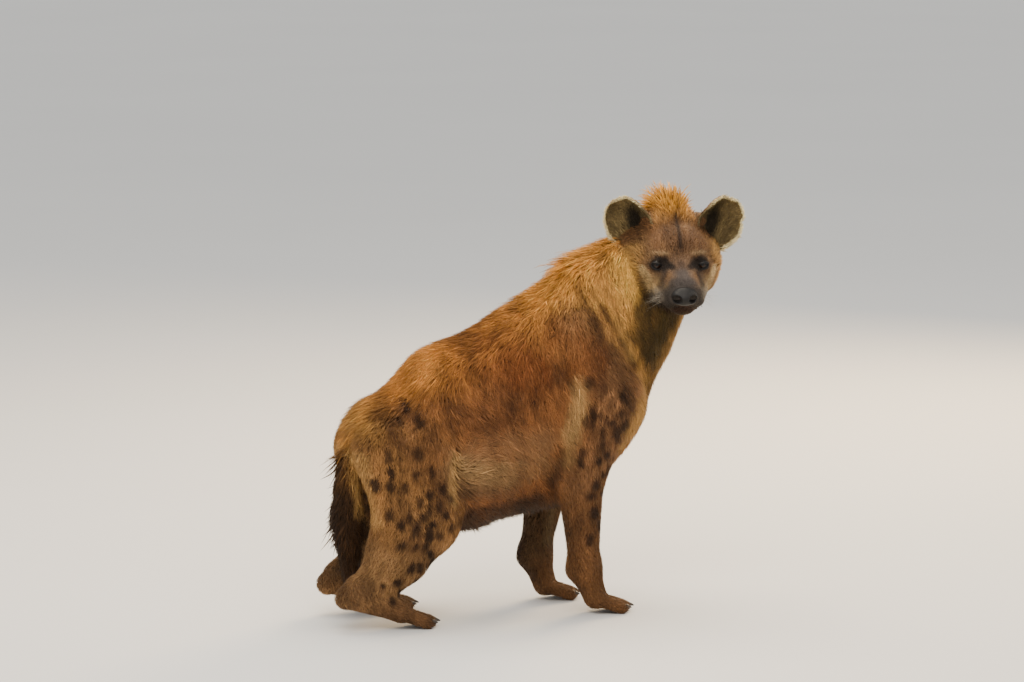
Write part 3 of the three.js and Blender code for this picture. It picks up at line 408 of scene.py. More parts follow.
def trunk_muscles() -> list[Muscle]:
    """Ribs, back, chest and pelvis."""
    back = (-0.8, 0, -0.6)
    flank = (0.28, 0, -0.96)
    rump = (-0.35, 0, -0.94)
    return [
        Muscle((-110, 0, 411), (115, 0, 490), (157, 198), (154, 226), 30, Zone.FLANK, flank),
        Muscle((-274, 0, 458), (-140, 0, 560), (66, 62), (78, 74), 40, Zone.BACK, back),
        Muscle((-140, 0, 560), (60, 0, 636), (78, 74), (78, 80), 40, Zone.BACK, back),
        Muscle((60, 0, 636), (180, 0, 684), (78, 80), (68, 80), 40, Zone.BACK, back),
        Muscle((115, 0, 500), (246, 0, 505), (130, 214), (104, 152), 55, Zone.CHEST, (0, 0, -1)),
        Muscle((200, 0, 400), (276, 0, 470), (70, 78), (66, 64), 40, Zone.CHEST, (0, 0, -1)),
        Muscle((-170, 0, 420), (-276, 0, 428), (126, 148), (92, 84), 40, Zone.RUMP, rump),
        Muscle((-272, 0, 432), (-300, 0, 402), (78, 68), (60, 52), 30, Zone.RUMP, rump),
    ]


def neck_muscles() -> list[Muscle]:
    """Neck, throat and the dense root of the mane."""
    atlas = HEAD.place(-125, 0, 5)
    nape = HEAD.place(-128, 0, 62)
    side_flow = (0.15, 0, -1)
    mane_flow = (-0.75, 0, -0.35)
    return [
        Muscle((200, 0, 596), (284, -12, 688), (102, 168), (90, 142), 50, Zone.NECK, side_flow),
        Muscle((284, -12, 688), atlas, (90, 142), (80, 98), 50, Zone.NECK, side_flow),
        Muscle((305, 0, 556), HEAD.place(-80, 0, -76), (70, 74), (50, 42), 45, Zone.THROAT, (-0.1, 0, -1)),
        Muscle((110, 0, 694), (222, -2, 786), (36, 40), (36, 40), 40, Zone.MANE, mane_flow),
        Muscle((222, -2, 786), nape, (36, 40), (36, 38), 40, Zone.MANE, mane_flow),
        Muscle(nape, HEAD.place(-116, -8, 84), (50, 36), (50, 24), 24, Zone.CROWN, (0.25, 0.5, 0.25)),
    ]


def head_muscles() -> list[Muscle]:
    """Skull, muzzle, jaw, nose pad, cheeks, brows and the roots of the ears."""

    def part(start: Sequence[float], end: Sequence[float], *sizes: Any) -> Muscle:
        """A muscle between two points in the head's own axes."""
        first, last, blend, zone = sizes
        return Muscle(HEAD.place(*start), HEAD.place(*end), first, last, blend, zone, None, HEAD.axes()[1])

    muscles = [
        part((-120, 0, 22), (-38, 0, 26), (76, 66), (72, 56), 25, Zone.SKULL),
        part((-120, 0, 56), (-10, 0, 34), (40, 28), (38, 28), 25, Zone.SKULL),
        part((-5, 0, -24), (92, 0, -50), (62, 52), (44, 31), 30, Zone.MUZZLE),
        part((-5, 0, 8), (92, 0, -31), (30, 26), (25, 17), 20, Zone.MUZZLE),
        part((-70, 0, -72), (78, 0, -80), (56, 34), (30, 20), 24, Zone.FACE),
        part((70, 0, -84), (90, 0, -86), (27, 16), (24, 15), 12, Zone.MUZZLE),
        part((103, 0, -48), (116, 0, -54), (29, 20), (27, 18), 8, Zone.MUZZLE),
    ]
    for s in (RIGHT, LEFT):
        muscles += [
            part((-88, s * 62, -18), (-22, s * 56, -34), (40, 66), (32, 46), 30, Zone.FACE),
            part((-30, s * 46, 26), (6, s * 38, 20), (24, 17), (17, 12), 16, Zone.FACE),
            part((-50, s * 78, -6), (6, s * 56, -22), (20, 17), (18, 15), 20, Zone.FACE),
            part((34, s * 38, -56), (88, s * 28, -66), (27, 26), (22, 17), 16, Zone.MUZZLE),
            part((-136, s * 62, 34), (-138, s * 84, 52), (26, 22), (17, 14), 22, Zone.SKULL),
            part((-94, s * 34, 73), (-104, s * 60, 81), (20, 18), (18, 15), 20, Zone.SKULL),
        ]
    return muscles


def tail_muscles() -> list[Muscle]:
    """The hanging tail, which never blends into the body."""
    return [
        Muscle((-300, 0, 446), (-362, -6, 392), (30, 30), (27, 27), 20, Zone.TAIL),
        Muscle((-362, -6, 392), (-373, -12, 250), (27, 27), (31, 31), 20, Zone.TAIL),
        Muscle((-373, -12, 250), (-364, -16, 92), (31, 31), (13, 13), 20, Zone.TAIL),
    ]


BODY_MUSCLES = [
    *trunk_muscles(),
    *neck_muscles(),
    *head_muscles(),
    *(m for leg in LEGS.values() for m in leg.muscles()),
]
TAIL_MUSCLES = tail_muscles()


def design_offset() -> Array:
    """Where the design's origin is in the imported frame, in mm, from a claw whose place is exact."""
    tip = toe_muscles(FORE_LEGS["foreleg_right"])[0].end
    low, high = (np.array(corner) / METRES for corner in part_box("foreleg_right_claw_1"))
    front = tip[0] + CLAW_START + CLAW_LENGTH
    return np.array([high[0] - front, (low[1] + high[1]) / 2 - tip[1], 0.0])


OFFSET = design_offset()


def node_centre(node: str) -> Array:
    """Middle of a CAD node, in the design's own axes."""
    low, high = (np.array(corner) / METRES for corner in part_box(node))
    return (low + high) / 2 - OFFSET


def union_value(muscles: Sequence[Muscle], points: Array) -> Array:
    """Distance from the blended muscles at given points."""
    value = np.full(len(points), Field.FAR)
    low, high = points.min(0), points.max(0)
    for muscle in muscles:
        a, b = muscle.box(muscle.blend + 40)
        if np.all(b > low) and np.all(a < high):
            value = smooth_union(value, muscle.distance(points), muscle.blend)
    return value


class Field:
    """The blended muscles sampled on a grid, with the coat's depth at each place."""

    FAR = 60.0

    def __init__(self, step: float = 4.0) -> None:
        """Samples the body and the tail.

        Args:
            step: grid spacing in mm.
        """
        muscles = [*BODY_MUSCLES, *TAIL_MUSCLES]
        boxes = [m.box(3 * step) for m in muscles]
        self.step = step
        self.low = np.min([low for low, _ in boxes], axis=0)
        high = np.max([high for _, high in boxes], axis=0)
        self.count = np.ceil((high - self.low) / step).astype(int) + 1
        self.weight = np.full(self.count, 1e-5, np.float32)
        self.depth = np.full(self.count, 8e-5, np.float32)
        body = self.union(BODY_MUSCLES)
        tail = self.union(TAIL_MUSCLES)
        self.value = np.minimum(body, tail)
        self.depth /= self.weight
        del self.weight
        self.slope = np.gradient(self.value, step)

    def union(self, muscles: Sequence[Muscle]) -> Array:
        """Blends muscles on the grid, and adds their coat's depth to the running mean."""
        value = np.full(self.count, self.FAR, np.float32)
        for muscle in muscles:
            low, high = muscle.box(muscle.blend + 30)
            first = np.clip(np.floor((low - self.low) / self.step).astype(int), 0, self.count)
            last = np.clip(np.ceil((high - self.low) / self.step).astype(int) + 1, 0, self.count)
            axes = [self.low[k] + self.step * np.arange(first[k], last[k]) for k in range(3)]
            points = np.stack(np.meshgrid(*axes, indexing="ij"), axis=-1).astype(np.float32)
            distance = muscle.distance(points).astype(np.float32)
            part = tuple(slice(first[k], last[k]) for k in range(3))
            value[part] = smooth_union(value[part], distance, muscle.blend)
            weight = np.exp(-np.clip(distance, -10, 60) / 12)
            self.weight[part] += weight
            self.depth[part] += weight * muscle.zone.value.depth
        return value

    def read(self, grid: Array, points: Array) -> Array:
        """Reads a sampled grid between its points."""
        place = np.clip((points - self.low) / self.step, 0, self.count - 1.001)
        base = np.floor(place).astype(int)
        share = place - base
        total = np.zeros(len(points))
        for corner in np.ndindex(2, 2, 2):
            weight = np.prod(np.where(corner, share, 1 - share), axis=1)
            i, j, k = (base + corner).T
            total += weight * grid[i, j, k]
        return total

    def outward(self, points: Array) -> Array:
        """Direction in which the field rises."""
        return unit(np.stack([self.read(grid, points) for grid in self.slope], axis=-1))


def surface_nets(values: Array, low: Array, step: float) -> tuple[Array, Array]:
    """Meshes the zero level of a grid with one vertex a crossed cell.

    Args:
        values: sampled field, negative inside.
        low: the grid's lowest corner.
        step: grid spacing.

    Returns:
        Points and four-sided faces that face out.
    """
    inside = values < 0
    cells_shape = [n - 1 for n in values.shape]
    corners = list(np.ndindex(2, 2, 2))
    filled = np.zeros(cells_shape, np.int8)
    for i, j, k in corners:
        filled += inside[i : i + cells_shape[0], j : j + cells_shape[1], k : k + cells_shape[2]]
    crossed = (filled > 0) & (filled < 8)
    cells = np.argwhere(crossed)
    index = -np.ones(cells_shape, np.int64)
    index[crossed] = np.arange(len(cells))
    total = np.zeros((len(cells), 3))
    count = np.zeros(len(cells))
    for corner in corners:
        for axis in range(3):
            if corner[axis] == 1:
                continue
            end = tuple(c + (1 if k == axis else 0) for k, c in enumerate(corner))
            a = values[tuple((cells + corner).T)]
            b = values[tuple((cells + end).T)]
            cuts = (a < 0) != (b < 0)
            share = np.where(cuts, a / np.where(cuts, a - b, 1), 0)[:, None]
            total += np.where(cuts[:, None], np.array(corner) + share * (np.array(end) - corner), 0)
            count += cuts
    points = (cells + total / count[:, None]) * step + low
    quads = []
    for axis in range(3):
        first, second = (k for k in range(3) if k != axis)
        before = [slice(None)] * 3
        after = [slice(None)] * 3
        before[axis] = slice(0, values.shape[axis] - 1)
        after[axis] = slice(1, values.shape[axis])
        edges = np.argwhere(inside[tuple(before)] != inside[tuple(after)])
        rim = (edges[:, first] > 0) & (edges[:, second] > 0)
        rim &= (edges[:, first] < values.shape[first] - 1) & (edges[:, second] < values.shape[second] - 1)
        edges = edges[rim]
        starts_inside = inside[tuple(before)][tuple(edges.T)]
        ring = []
        for back_first, back_second in ((1, 1), (0, 1), (0, 0), (1, 0)):
            cell = edges.copy()
            cell[:, first] -= back_first
            cell[:, second] -= back_second
            ring.append(index[tuple(cell.T)])
        quad = np.stack(ring, axis=1)
        keep = starts_inside if axis != 1 else ~starts_inside
        quad[~keep] = quad[~keep][:, ::-1]
        quads.append(quad)
    return points, np.concatenate(quads)


def add_mesh(name: str, points: Array, faces: Array, smooth: bool = True) -> bpy.types.Object:
    """Makes a mesh object from points in the design's millimetres.

    Args:
        name: the object's name.
        points: vertex places, in mm.
        faces: triangles or quads, one row each.
        smooth: whether faces are shaded smooth.

    Returns:
        The object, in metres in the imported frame.
    """
    mesh = bpy.data.meshes.new(name)
    sides = faces.shape[1]
    mesh.vertices.add(len(points))
    mesh.vertices.foreach_set("co", ((points + OFFSET) * METRES).astype(np.float32).ravel())
    mesh.loops.add(len(faces) * sides)
    mesh.loops.foreach_set("vertex_index", faces.astype(np.int32).ravel())
    mesh.polygons.add(len(faces))
    mesh.polygons.foreach_set("loop_start", np.arange(0, len(faces) * sides, sides, dtype=np.int32))
    mesh.polygons.foreach_set("use_smooth", np.full(len(faces), smooth))
    mesh.update(calc_edges=True)
    mesh.validate()
    obj = bpy.data.objects.new(name, mesh)
    bpy.context.scene.collection.objects.link(obj)
    return obj


def paint(obj: bpy.types.Object, colours: Array) -> None:
    """Stores one linear colour a vertex as the object's markings."""
    layer = obj.data.color_attributes.new(MARKINGS, "FLOAT_COLOR", "POINT")
    full = np.ones((len(colours), 4), np.float32)
    full[:, :3] = np.clip(colours, 0, 1)
    layer.data.foreach_set("color", full.ravel())


def vertex_normals(points: Array, faces: Array) -> Array:
    """Outward unit normals at the points of a mesh."""
    fan = np.cross(points[faces[:, 1]] - points[faces[:, 0]], points[faces[:, 2]] - points[faces[:, 0]])
    if faces.shape[1] == 4:
        fan = np.cross(points[faces[:, 2]] - points[faces[:, 0]], points[faces[:, 3]] - points[faces[:, 1]])
    normals = np.zeros_like(points)
    for corner in range(faces.shape[1]):
        for axis in range(3):
            normals[:, axis] += np.bincount(faces[:, corner], fan[:, axis], len(points))
    return unit(normals)


def off_segment(flat: Array, start: Sequence[float], end: Sequence[float]) -> Array:
    """Offsets of flat places from the nearest point of a segment."""
    first = np.array(start, float)
    run = np.array(end, float) - first
    share = np.clip((flat - first) @ run / max(run @ run, 1e-6), 0, 1)
    return flat - first - share[:, None] * run


@dataclass
class FaceMark:
    """A patch on both halves of the face, seen from the front and a little above.

    Points are (across, up) in mm from between the eyes, and radii are in the same two directions.
    """

    start: tuple[float, float]
    end: tuple[float, float]
    radii: tuple[float, float]
    colour: str
    strength: float = 0.8
    softness: float = 0.45

    def cover(self, seen: Array, wobble: Array) -> Array:
        """How far the patch covers places of the face, from 0 to 1."""
        away = off_segment(seen, self.start, self.end) / np.array(self.radii)
        reach = np.linalg.norm(away, axis=1) + 0.12 * wobble
        return self.strength * (1 - smooth_step(reach, 1 - self.softness, 1 + self.softness))


@dataclass
class SideMark:
    """A round or long patch on the flank, seen from the side, at (x, z) in mm."""

    start: tuple[float, float]
    end: tuple[float, float]
    radius: float
    colour: str
    strength: float = 0.8
    softness: float = 0.4
    sides: tuple[int, ...] = (RIGHT, LEFT)

    def cover(self, points: Array, wobble: Array) -> Array:
        """How far the patch covers points of the body, from 0 to 1."""
        away = off_segment(points[:, [0, 2]], self.start, self.end)
        raggedness = min(0.28, self.radius / 75)
        reach = np.linalg.norm(away, axis=1) / self.radius + raggedness * wobble
        here = np.isin(np.where(points[:, 1] < 0, RIGHT, LEFT), self.sides)
        return here * self.strength * (1 - smooth_step(reach, 1 - self.softness, 1 + self.softness))


DARK_SPOT = "#2b1c13"

# Where the round spots sit on the side of the thigh and of the foreleg, as (x, z).
THIGH_SPOTS = (
    (-315, 410), (-245, 412), (-253, 367), (-343, 344), (-313, 341), (-278, 337), (-248, 304),
    (-223, 320), (-188, 332), (-173, 306), (-228, 285), (-201, 292), (-318, 275), (-295, 254),
    (-263, 235), (-258, 254), (-228, 226), (-203, 224), (-173, 240), (-293, 203), (-258, 198),
    (-233, 198), (-218, 179), (-263, 146), (-243, 146), (-206, 151), (-328, 108), (-295, 113),
    (-278, 85), (-303, 71), (-246, 108), (-256, 521), (-279, 487), (-234, 483), (-310, 372),
    (-212, 372), (-186, 270), (-245, 270), (-222, 252), (-275, 268),
)
FORELEG_SPOTS = (
    (211, 341), (231, 345), (193, 317), (183, 289), (223, 294), (196, 247), (216, 214),
    (205, 445), (240, 440), (205, 415), (155, 400), (195, 375), (220, 385), (150, 375),
    (175, 560), (185, 485), (250, 485), (255, 520), (165, 470), (245, 425), (228, 465),
    (262, 455), (186, 180),
)

# Patches of the side: (x, z) of both ends, radius, colour, strength, softness, and the side if on one only.
SIDE_MARKS = [
    SideMark((x0, z0), (x1, z1), *rest)
    for x0, z0, x1, z1, *rest in (
        (-110, 640, -80, 655, 24, "#5c361d", 0.55, 0.6),
        (-48, 672, -40, 660, 18, "#6f4323", 0.45, 0.6),
        (-40, 530, 35, 565, 40, "#4d311f", 0.5, 0.7),
        (-130, 500, -60, 470, 44, "#573824", 0.45, 0.7),
        (104, 590, 94, 570, 24, "#382216", 0.75, 0.6),
        (-10, 640, 60, 560, 40, "#6e4021", 0.45, 0.7),
        (-150, 392, 60, 420, 40, "#987450", 0.5, 0.8),
        (-150, 372, -50, 352, 30, "#a5875a", 0.6, 0.9),
        (-150, 322, -10, 306, 20, "#66503a", 0.55, 0.9),
        # A dark band along the bottom of the flank, towards the elbow: painted shade of the underside.
        (-140, 252, 70, 276, 18, "#2f1f15", 0.7, 0.7),
        (158, 552, 130, 440, 19, "#bc9762", 0.7, 0.9),
        (130, 440, 118, 385, 18, "#a08154", 0.5, 0.9),
        (-60, 345, 62, 362, 28, "#8a6c4a", 0.5, 0.8),
        # A dark line behind the elbow, where the foreleg meets the body: painted shade.
        (106, 402, 96, 325, 12, "#2e1e14", 0.7, 0.9),
        (181, 502, 181, 456, 9, "#3a271a", 0.7, 0.8),
        (196, 480, 240, 452, 8, "#3a271a", 0.65, 0.8),
        (214, 498, 232, 522, 8, "#3a271a", 0.55, 0.8),
        (262, 548, 268, 512, 8, "#3a271a", 0.6, 0.8),
        (282, 515, 276, 488, 7, "#3a271a", 0.55, 0.8),
        (200, 520, 212, 548, 8, "#3a271a", 0.5, 0.8),
        (175, 778, 192, 725, 8, "#3b2416", 0.6, 0.9),
        (200, 705, 216, 660, 11, "#3b2416", 0.65, 0.9),
        (206, 640, 226, 605, 13, "#422818", 0.55, 0.9),
        (225, 728, 270, 650, 8, "#3b2416", 0.65, 0.9),
        (270, 650, 306, 585, 8, "#352013", 0.75, 0.7),
        (236, 775, 262, 715, 6, "#4a301d", 0.45, 0.9),
        (205, 765, 238, 700, 6, "#4a301d", 0.45, 0.9),
        (205, 625, 190, 560, 28, "#4a2f20", 0.55, 0.8),
        (246, 620, 256, 540, 28, "#46301f", 0.65, 0.8),
        (230, 440, 215, 420, 34, "#3d281a", 0.45, 0.8),
        # Three dark olive patches on the near, right side of the throat under the cheek: painted shade.
        (340, 775, 312, 660, 28, "#3c2f15", 0.85, 0.6, (RIGHT,)),
        (385, 745, 345, 620, 36, "#382c13", 0.9, 0.6, (RIGHT,)),
        (395, 700, 350, 590, 28, "#3a2e15", 0.85, 0.7, (RIGHT,)),
        (330, 520, 276, 400, 20, "#b58c4c", 0.6, 0.7),
        (280, 822, 290, 760, 24, "#e4b058", 0.75, 0.8),
        (262, 700, 296, 610, 12, "#a5804a", 0.5, 0.9),
        (110, 660, 170, 610, 44, "#94592f", 0.45, 0.9),
        (-255, 560, -200, 590, 36, "#d4924a", 0.5, 0.8),
        (-30, 600, 40, 600, 40, "#8c4f28", 0.4, 0.9),
        (-330, 535, -350, 470, 34, "#c9954e", 0.6, 0.7),
        (-310, 545, -240, 575, 42, "#b97833", 0.5, 0.9),
        (-345, 440, -300, 452, 22, "#55371f", 0.6, 0.8),
        (-322, 492, -300, 480, 19, "#4f3520", 0.65, 0.7),
        (-262, 502, -244, 490, 18, "#4f3520", 0.6, 0.7),
        (-272, 440, -250, 425, 19, "#4f3520", 0.55, 0.7),
        (-290, 500, -225, 480, 34, "#5c3d26", 0.45, 0.9),
        (-200, 420, -190, 300, 38, "#5c3f28", 0.35, 0.9),
        (-255, 480, -230, 380, 36, "#6e4a2f", 0.4, 0.9),
        (-165, 350, -170, 300, 30, "#593d27", 0.5, 0.8),
        (-245, 190, -215, 150, 30, "#5c4029", 0.4, 0.8),
        (-290, 300, -262, 235, 26, "#4a321f", 0.5, 0.8),
        (-150, 585, -90, 600, 26, "#603a20", 0.4, 0.8),
        (-205, 540, -180, 525, 20, "#6b4527", 0.45, 0.8),
        (-368, 400, -350, 260, 15, "#b58c52", 0.6, 0.7),
        (-148, 400, -165, 300, 13, "#b58e59", 0.7, 0.8),
        (-420, 85, -370, 100, 30, "#453020", 0.5, 0.7),
        (150, 110, 250, 20, 50, "#76502f", 0.35, 0.8),
        # A dark patch down the back of the far, left foreleg: painted shade.
        (125, 330, 88, 60, 34, "#2a1d12", 0.8, 0.8, (LEFT,)),
        (178, 330, 158, 150, 15, "#76684c", 0.6, 0.8, (LEFT,)),
    )
]

FACE_MARKS = (
    FaceMark((88, -10), (64, -64), (8, 8), "#c9ae7c", 0.65, 0.6),
    FaceMark((72, -40), (58, -56), (16, 14), "#a2845a", 0.5, 0.6),
    FaceMark((53, 25), (42, 24), (16, 5), "#8e7655", 0.6, 0.6),
    FaceMark((38, -26), (51, -54), (6, 8), "#20150e", 0.72, 0.55),
    FaceMark((30, -28), (37, -44), (5, 8), "#7d5c3b", 0.5, 0.6),
    FaceMark((0, -4), (0, -24), (10, 10), "#3b2d25", 0.7, 0.6),
    # The bridge's grey is the muzzle's own dark grey, lightened as a painted highlight.
    FaceMark((0, -26), (0, -42), (18, 13), "#4d4540", 0.9, 0.5),
    FaceMark((0, -48), (0, -62), (33, 15), "#3a3431", 0.94, 0.45),
    FaceMark((0, -80), (40, -84), (30, 27), "#332e2a", 0.94, 0.45),
    FaceMark((60, -66), (56, -84), (9, 9), "#7d7568", 0.45, 0.8),
    FaceMark((0, -110), (10, -112), (20, 9), "#2f1d13", 0.9, 0.4),
    FaceMark((50, -1), (48, -1), (26, 19), "#15100d", 0.97, 0.35),
    FaceMark((30, -5), (22, -9), (9, 7), "#19120e", 0.9, 0.5),
    FaceMark((0, 34), (0, 124), (15, 12), "#2e1c12", 0.5, 0.8),
    FaceMark((0, 40), (0, 122), (4, 8), "#170e09", 0.75, 0.8),
    # A darker band on each side of the forehead's dark line, up from over the eyes: painted shade.
    FaceMark((24, 44), (34, 90), (9, 12), "#3b2719", 0.45, 0.8),
    FaceMark((74, 20), (80, 60), (12, 14), "#7d5f3d", 0.4, 0.8),
)


class Painter:
    """Colours the skin and the coat alike, from the zones, the marks and noise."""

    BROAD_MM = np.array([34.0, 34.0, 58.0])
    FINE_MM = np.array([9.0, 9.0, 22.0])
    FAINT_SPOT = "#4a2f1d"
    INNER_LEG = "#57432e"

    def __init__(self) -> None:
        """Prepares the zone colours and the spots."""
        self.noise = Noise(3)
        self.roots = np.array([linear(z.value.root) for z in ZONES])
        self.tips = np.array([linear(z.value.tip) for z in ZONES])
        chance = np.random.default_rng(5)
        self.spots: list[SideMark] = []
        for x, z in (*THIGH_SPOTS, *FORELEG_SPOTS):
            radius = 7.5 + 4.0 * chance.random()
            tall = 8 * chance.random()
            lean = 4 * (chance.random() - 0.5)
            strength = (0.68 if z > 400 else 0.78) + 0.2 * chance.random()
            blur = 0.45 + 0.3 * chance.random()
            for side, reach in ((RIGHT, 0), (LEFT, 24)):
                dx, dz = reach * (chance.random(2) - 0.5)
                ends = (x + dx - lean, z + dz - tall), (x + dx + lean, z + dz + tall)
                self.spots.append(SideMark(*ends, radius, DARK_SPOT, strength, blur, (side,)))

    def colours(self, points: Array, normals: Array, zones: Array) -> tuple[Array, Array]:
        """Colours at points of the body.

        Args:
            points: places, in mm.
            normals: outward directions there.
            zones: weight of each zone at each place, adding up to 1.

        Returns:
            Linear colours of the hair's root half and of its tip.
        """
        root = zones @ self.roots
        tip = zones @ self.tips
        broad = self.noise.at(points, self.BROAD_MM)
        fine = self.noise.at(points + 900, self.FINE_MM)
        long_coat = 1 - 0.6 * zones[:, HEAD_COLUMNS].sum(1)
        shade = (1 + long_coat * (0.36 * broad + 0.26 * fine))[:, None]
        root, tip = root * shade, tip * shade
        wobble = broad + fine
        root, tip = self.blend(root, tip, self.faint_spots(points, zones), self.FAINT_SPOT)
        for mark in (*SIDE_MARKS, *self.spots):
            root, tip = self.blend(root, tip, mark.cover(points, wobble), mark.colour)
        root, tip = self.blend(root, tip, self.inner_leg(points, normals), self.INNER_LEG)
        local = HEAD.local(points)
        seen = np.stack([np.abs(local[:, 1]), 0.97 * local[:, 2] - 0.25 * local[:, 0]], axis=-1)
        front = smooth_step(local[:, 0], -90, -60) * (points[:, 2] > HEAD_FLOOR)
        front = front * np.clip(zones[:, HEAD_COLUMNS].sum(1) * 1.8, 0, 1)
        for mark in FACE_MARKS:
            root, tip = self.blend(root, tip, mark.cover(seen, wobble) * front, mark.colour)
        return root, tip

    @staticmethod
    def blend(root: Array, tip: Array, cover: Array, colour: str) -> tuple[Array, Array]:
        """Lays one colour over both halves of the hair."""
        cover = cover[:, None]
        goal = linear(colour)
        return root + (goal - root) * cover, tip + (goal * 1.12 - tip) * cover

    def faint_spots(self, points: Array, zones: Array) -> Array:
        """Blurred dark spots that break up the flank and the rump."""
        cell = np.array([58.0, 400.0, 50.0])
        place = points / cell + 50.0
        home = np.floor(place)
        seed = home @ np.array((12.9, 5.1, 78.2))
        jitter = np.stack([np.sin(seed * k) for k in (1.0, 1.7, 2.9)], axis=-1)
        middle = home + 0.5 + jitter * (0.24, 0, 0.24)
        away = (place - middle)[:, [0, 2]] * cell[[0, 2]]
        reach = np.linalg.norm(away, axis=1) / (11 + 5 * jitter[:, 1]) + 0.25 * self.noise.at(points, 12.0)
        where = zones[:, [ZONES.index(z) for z in (Zone.FLANK, Zone.RUMP, Zone.BACK)]].sum(1)
        return 0.4 * where * (1 - smooth_step(reach, 0.3, 1.5))

    @staticmethod
    def inner_leg(points: Array, normals: Array) -> Array:
        """How far a point is on the paler inner side of a leg."""
        inward = -normals[:, 1] * np.sign(points[:, 1])
        low = 1 - smooth_step(points[:, 2], 250, 330)
        high = smooth_step(points[:, 2], 60, 130)
        return 0.55 * smooth_step(inward, 0.1, 0.7) * low * high


@dataclass
class Surface:
    """A skin that hair grows from, in mm, with the coat's growth at each vertex."""

    points: Array
    normals: Array
    triangles: Array
    flow: Array
    growth: Array
    zones: Array
    bare: Array

    def column(self, key: str) -> Array:
        """One of the growth values at each vertex."""
        return self.growth[:, GROWTH_KEYS.index(key)]


@dataclass
class Opening:
    """The slanted almond between the lids of one eye."""

    side: int
    centre: Array
    radius: float = 14.0
    lid: float = 2.6
    half_width_deg: float = 56
    upper_deg: float = 27
    lower_deg: float = 33
    slant_deg: float = 8

    def axes(self) -> Array:
        """Forward, sideways (away from the nose) and up, as rows."""
        forward = HEAD.direction(0.97, self.side * 0.16, 0.0)
        up = HEAD.axes()[2]
        up = unit(up - up.dot(forward) * forward)
        return np.array([forward, np.cross(up, forward) * self.side, up])

    def margin(self, turn: float, lift: float) -> Array:
        """A point on the margin of the lids.

        Args:
            turn: from 0 at the outer corner, over the upper lid, to a full turn.
            lift: distance of the point from the eyeball's surface.

        Returns:
            The point, in mm.
        """
        swing = math.radians(self.half_width_deg) * math.cos(turn)
        height = self.upper_deg if math.sin(turn) > 0 else self.lower_deg
        rise = math.radians(height) * math.sin(turn) + math.radians(self.slant_deg) * math.cos(turn)
        local = (math.cos(rise) * math.cos(swing), math.cos(rise) * math.sin(swing), math.sin(rise))
        return self.centre + (self.radius + lift) * (np.array(local) @ self.axes())

    def lid_share(self, points: Array) -> Array:
        """How far a point is from the middle of the opening, as a share of the way to its margin."""
        ahead, aside, above = ((points - self.centre) @ self.axes().T).T
        swing = np.degrees(np.arctan2(aside, ahead)) / self.half_width_deg
        rise = np.degrees(np.arctan2(above, np.hypot(ahead, aside))) - self.slant_deg * swing
        return np.hypot(swing, rise / np.where(rise > 0, self.upper_deg, self.lower_deg))

    def lid_distance(self, points: Array) -> Array:
        """Distance from a ball that covers the eye but for the opening."""
        share = self.lid_share(points)
        cover = smooth_step(share, 0.9, 1.08)
        crease = 0.9 * np.exp(-(((share - 1.75) / 0.22) ** 2))
        size = self.radius - 5 + (5 + self.lid) * cover - crease
        return np.linalg.norm(points - self.centre, axis=1) - size


OPENINGS = [Opening(RIGHT, node_centre("eye_right")), Opening(LEFT, node_centre("eye_left"))]


# Where the hair of the rump stands highest, and where the lower flank's hair fans out from.
RUMP_TOP = (-295, 0, 515)
GROIN = (-182, 0, 343)


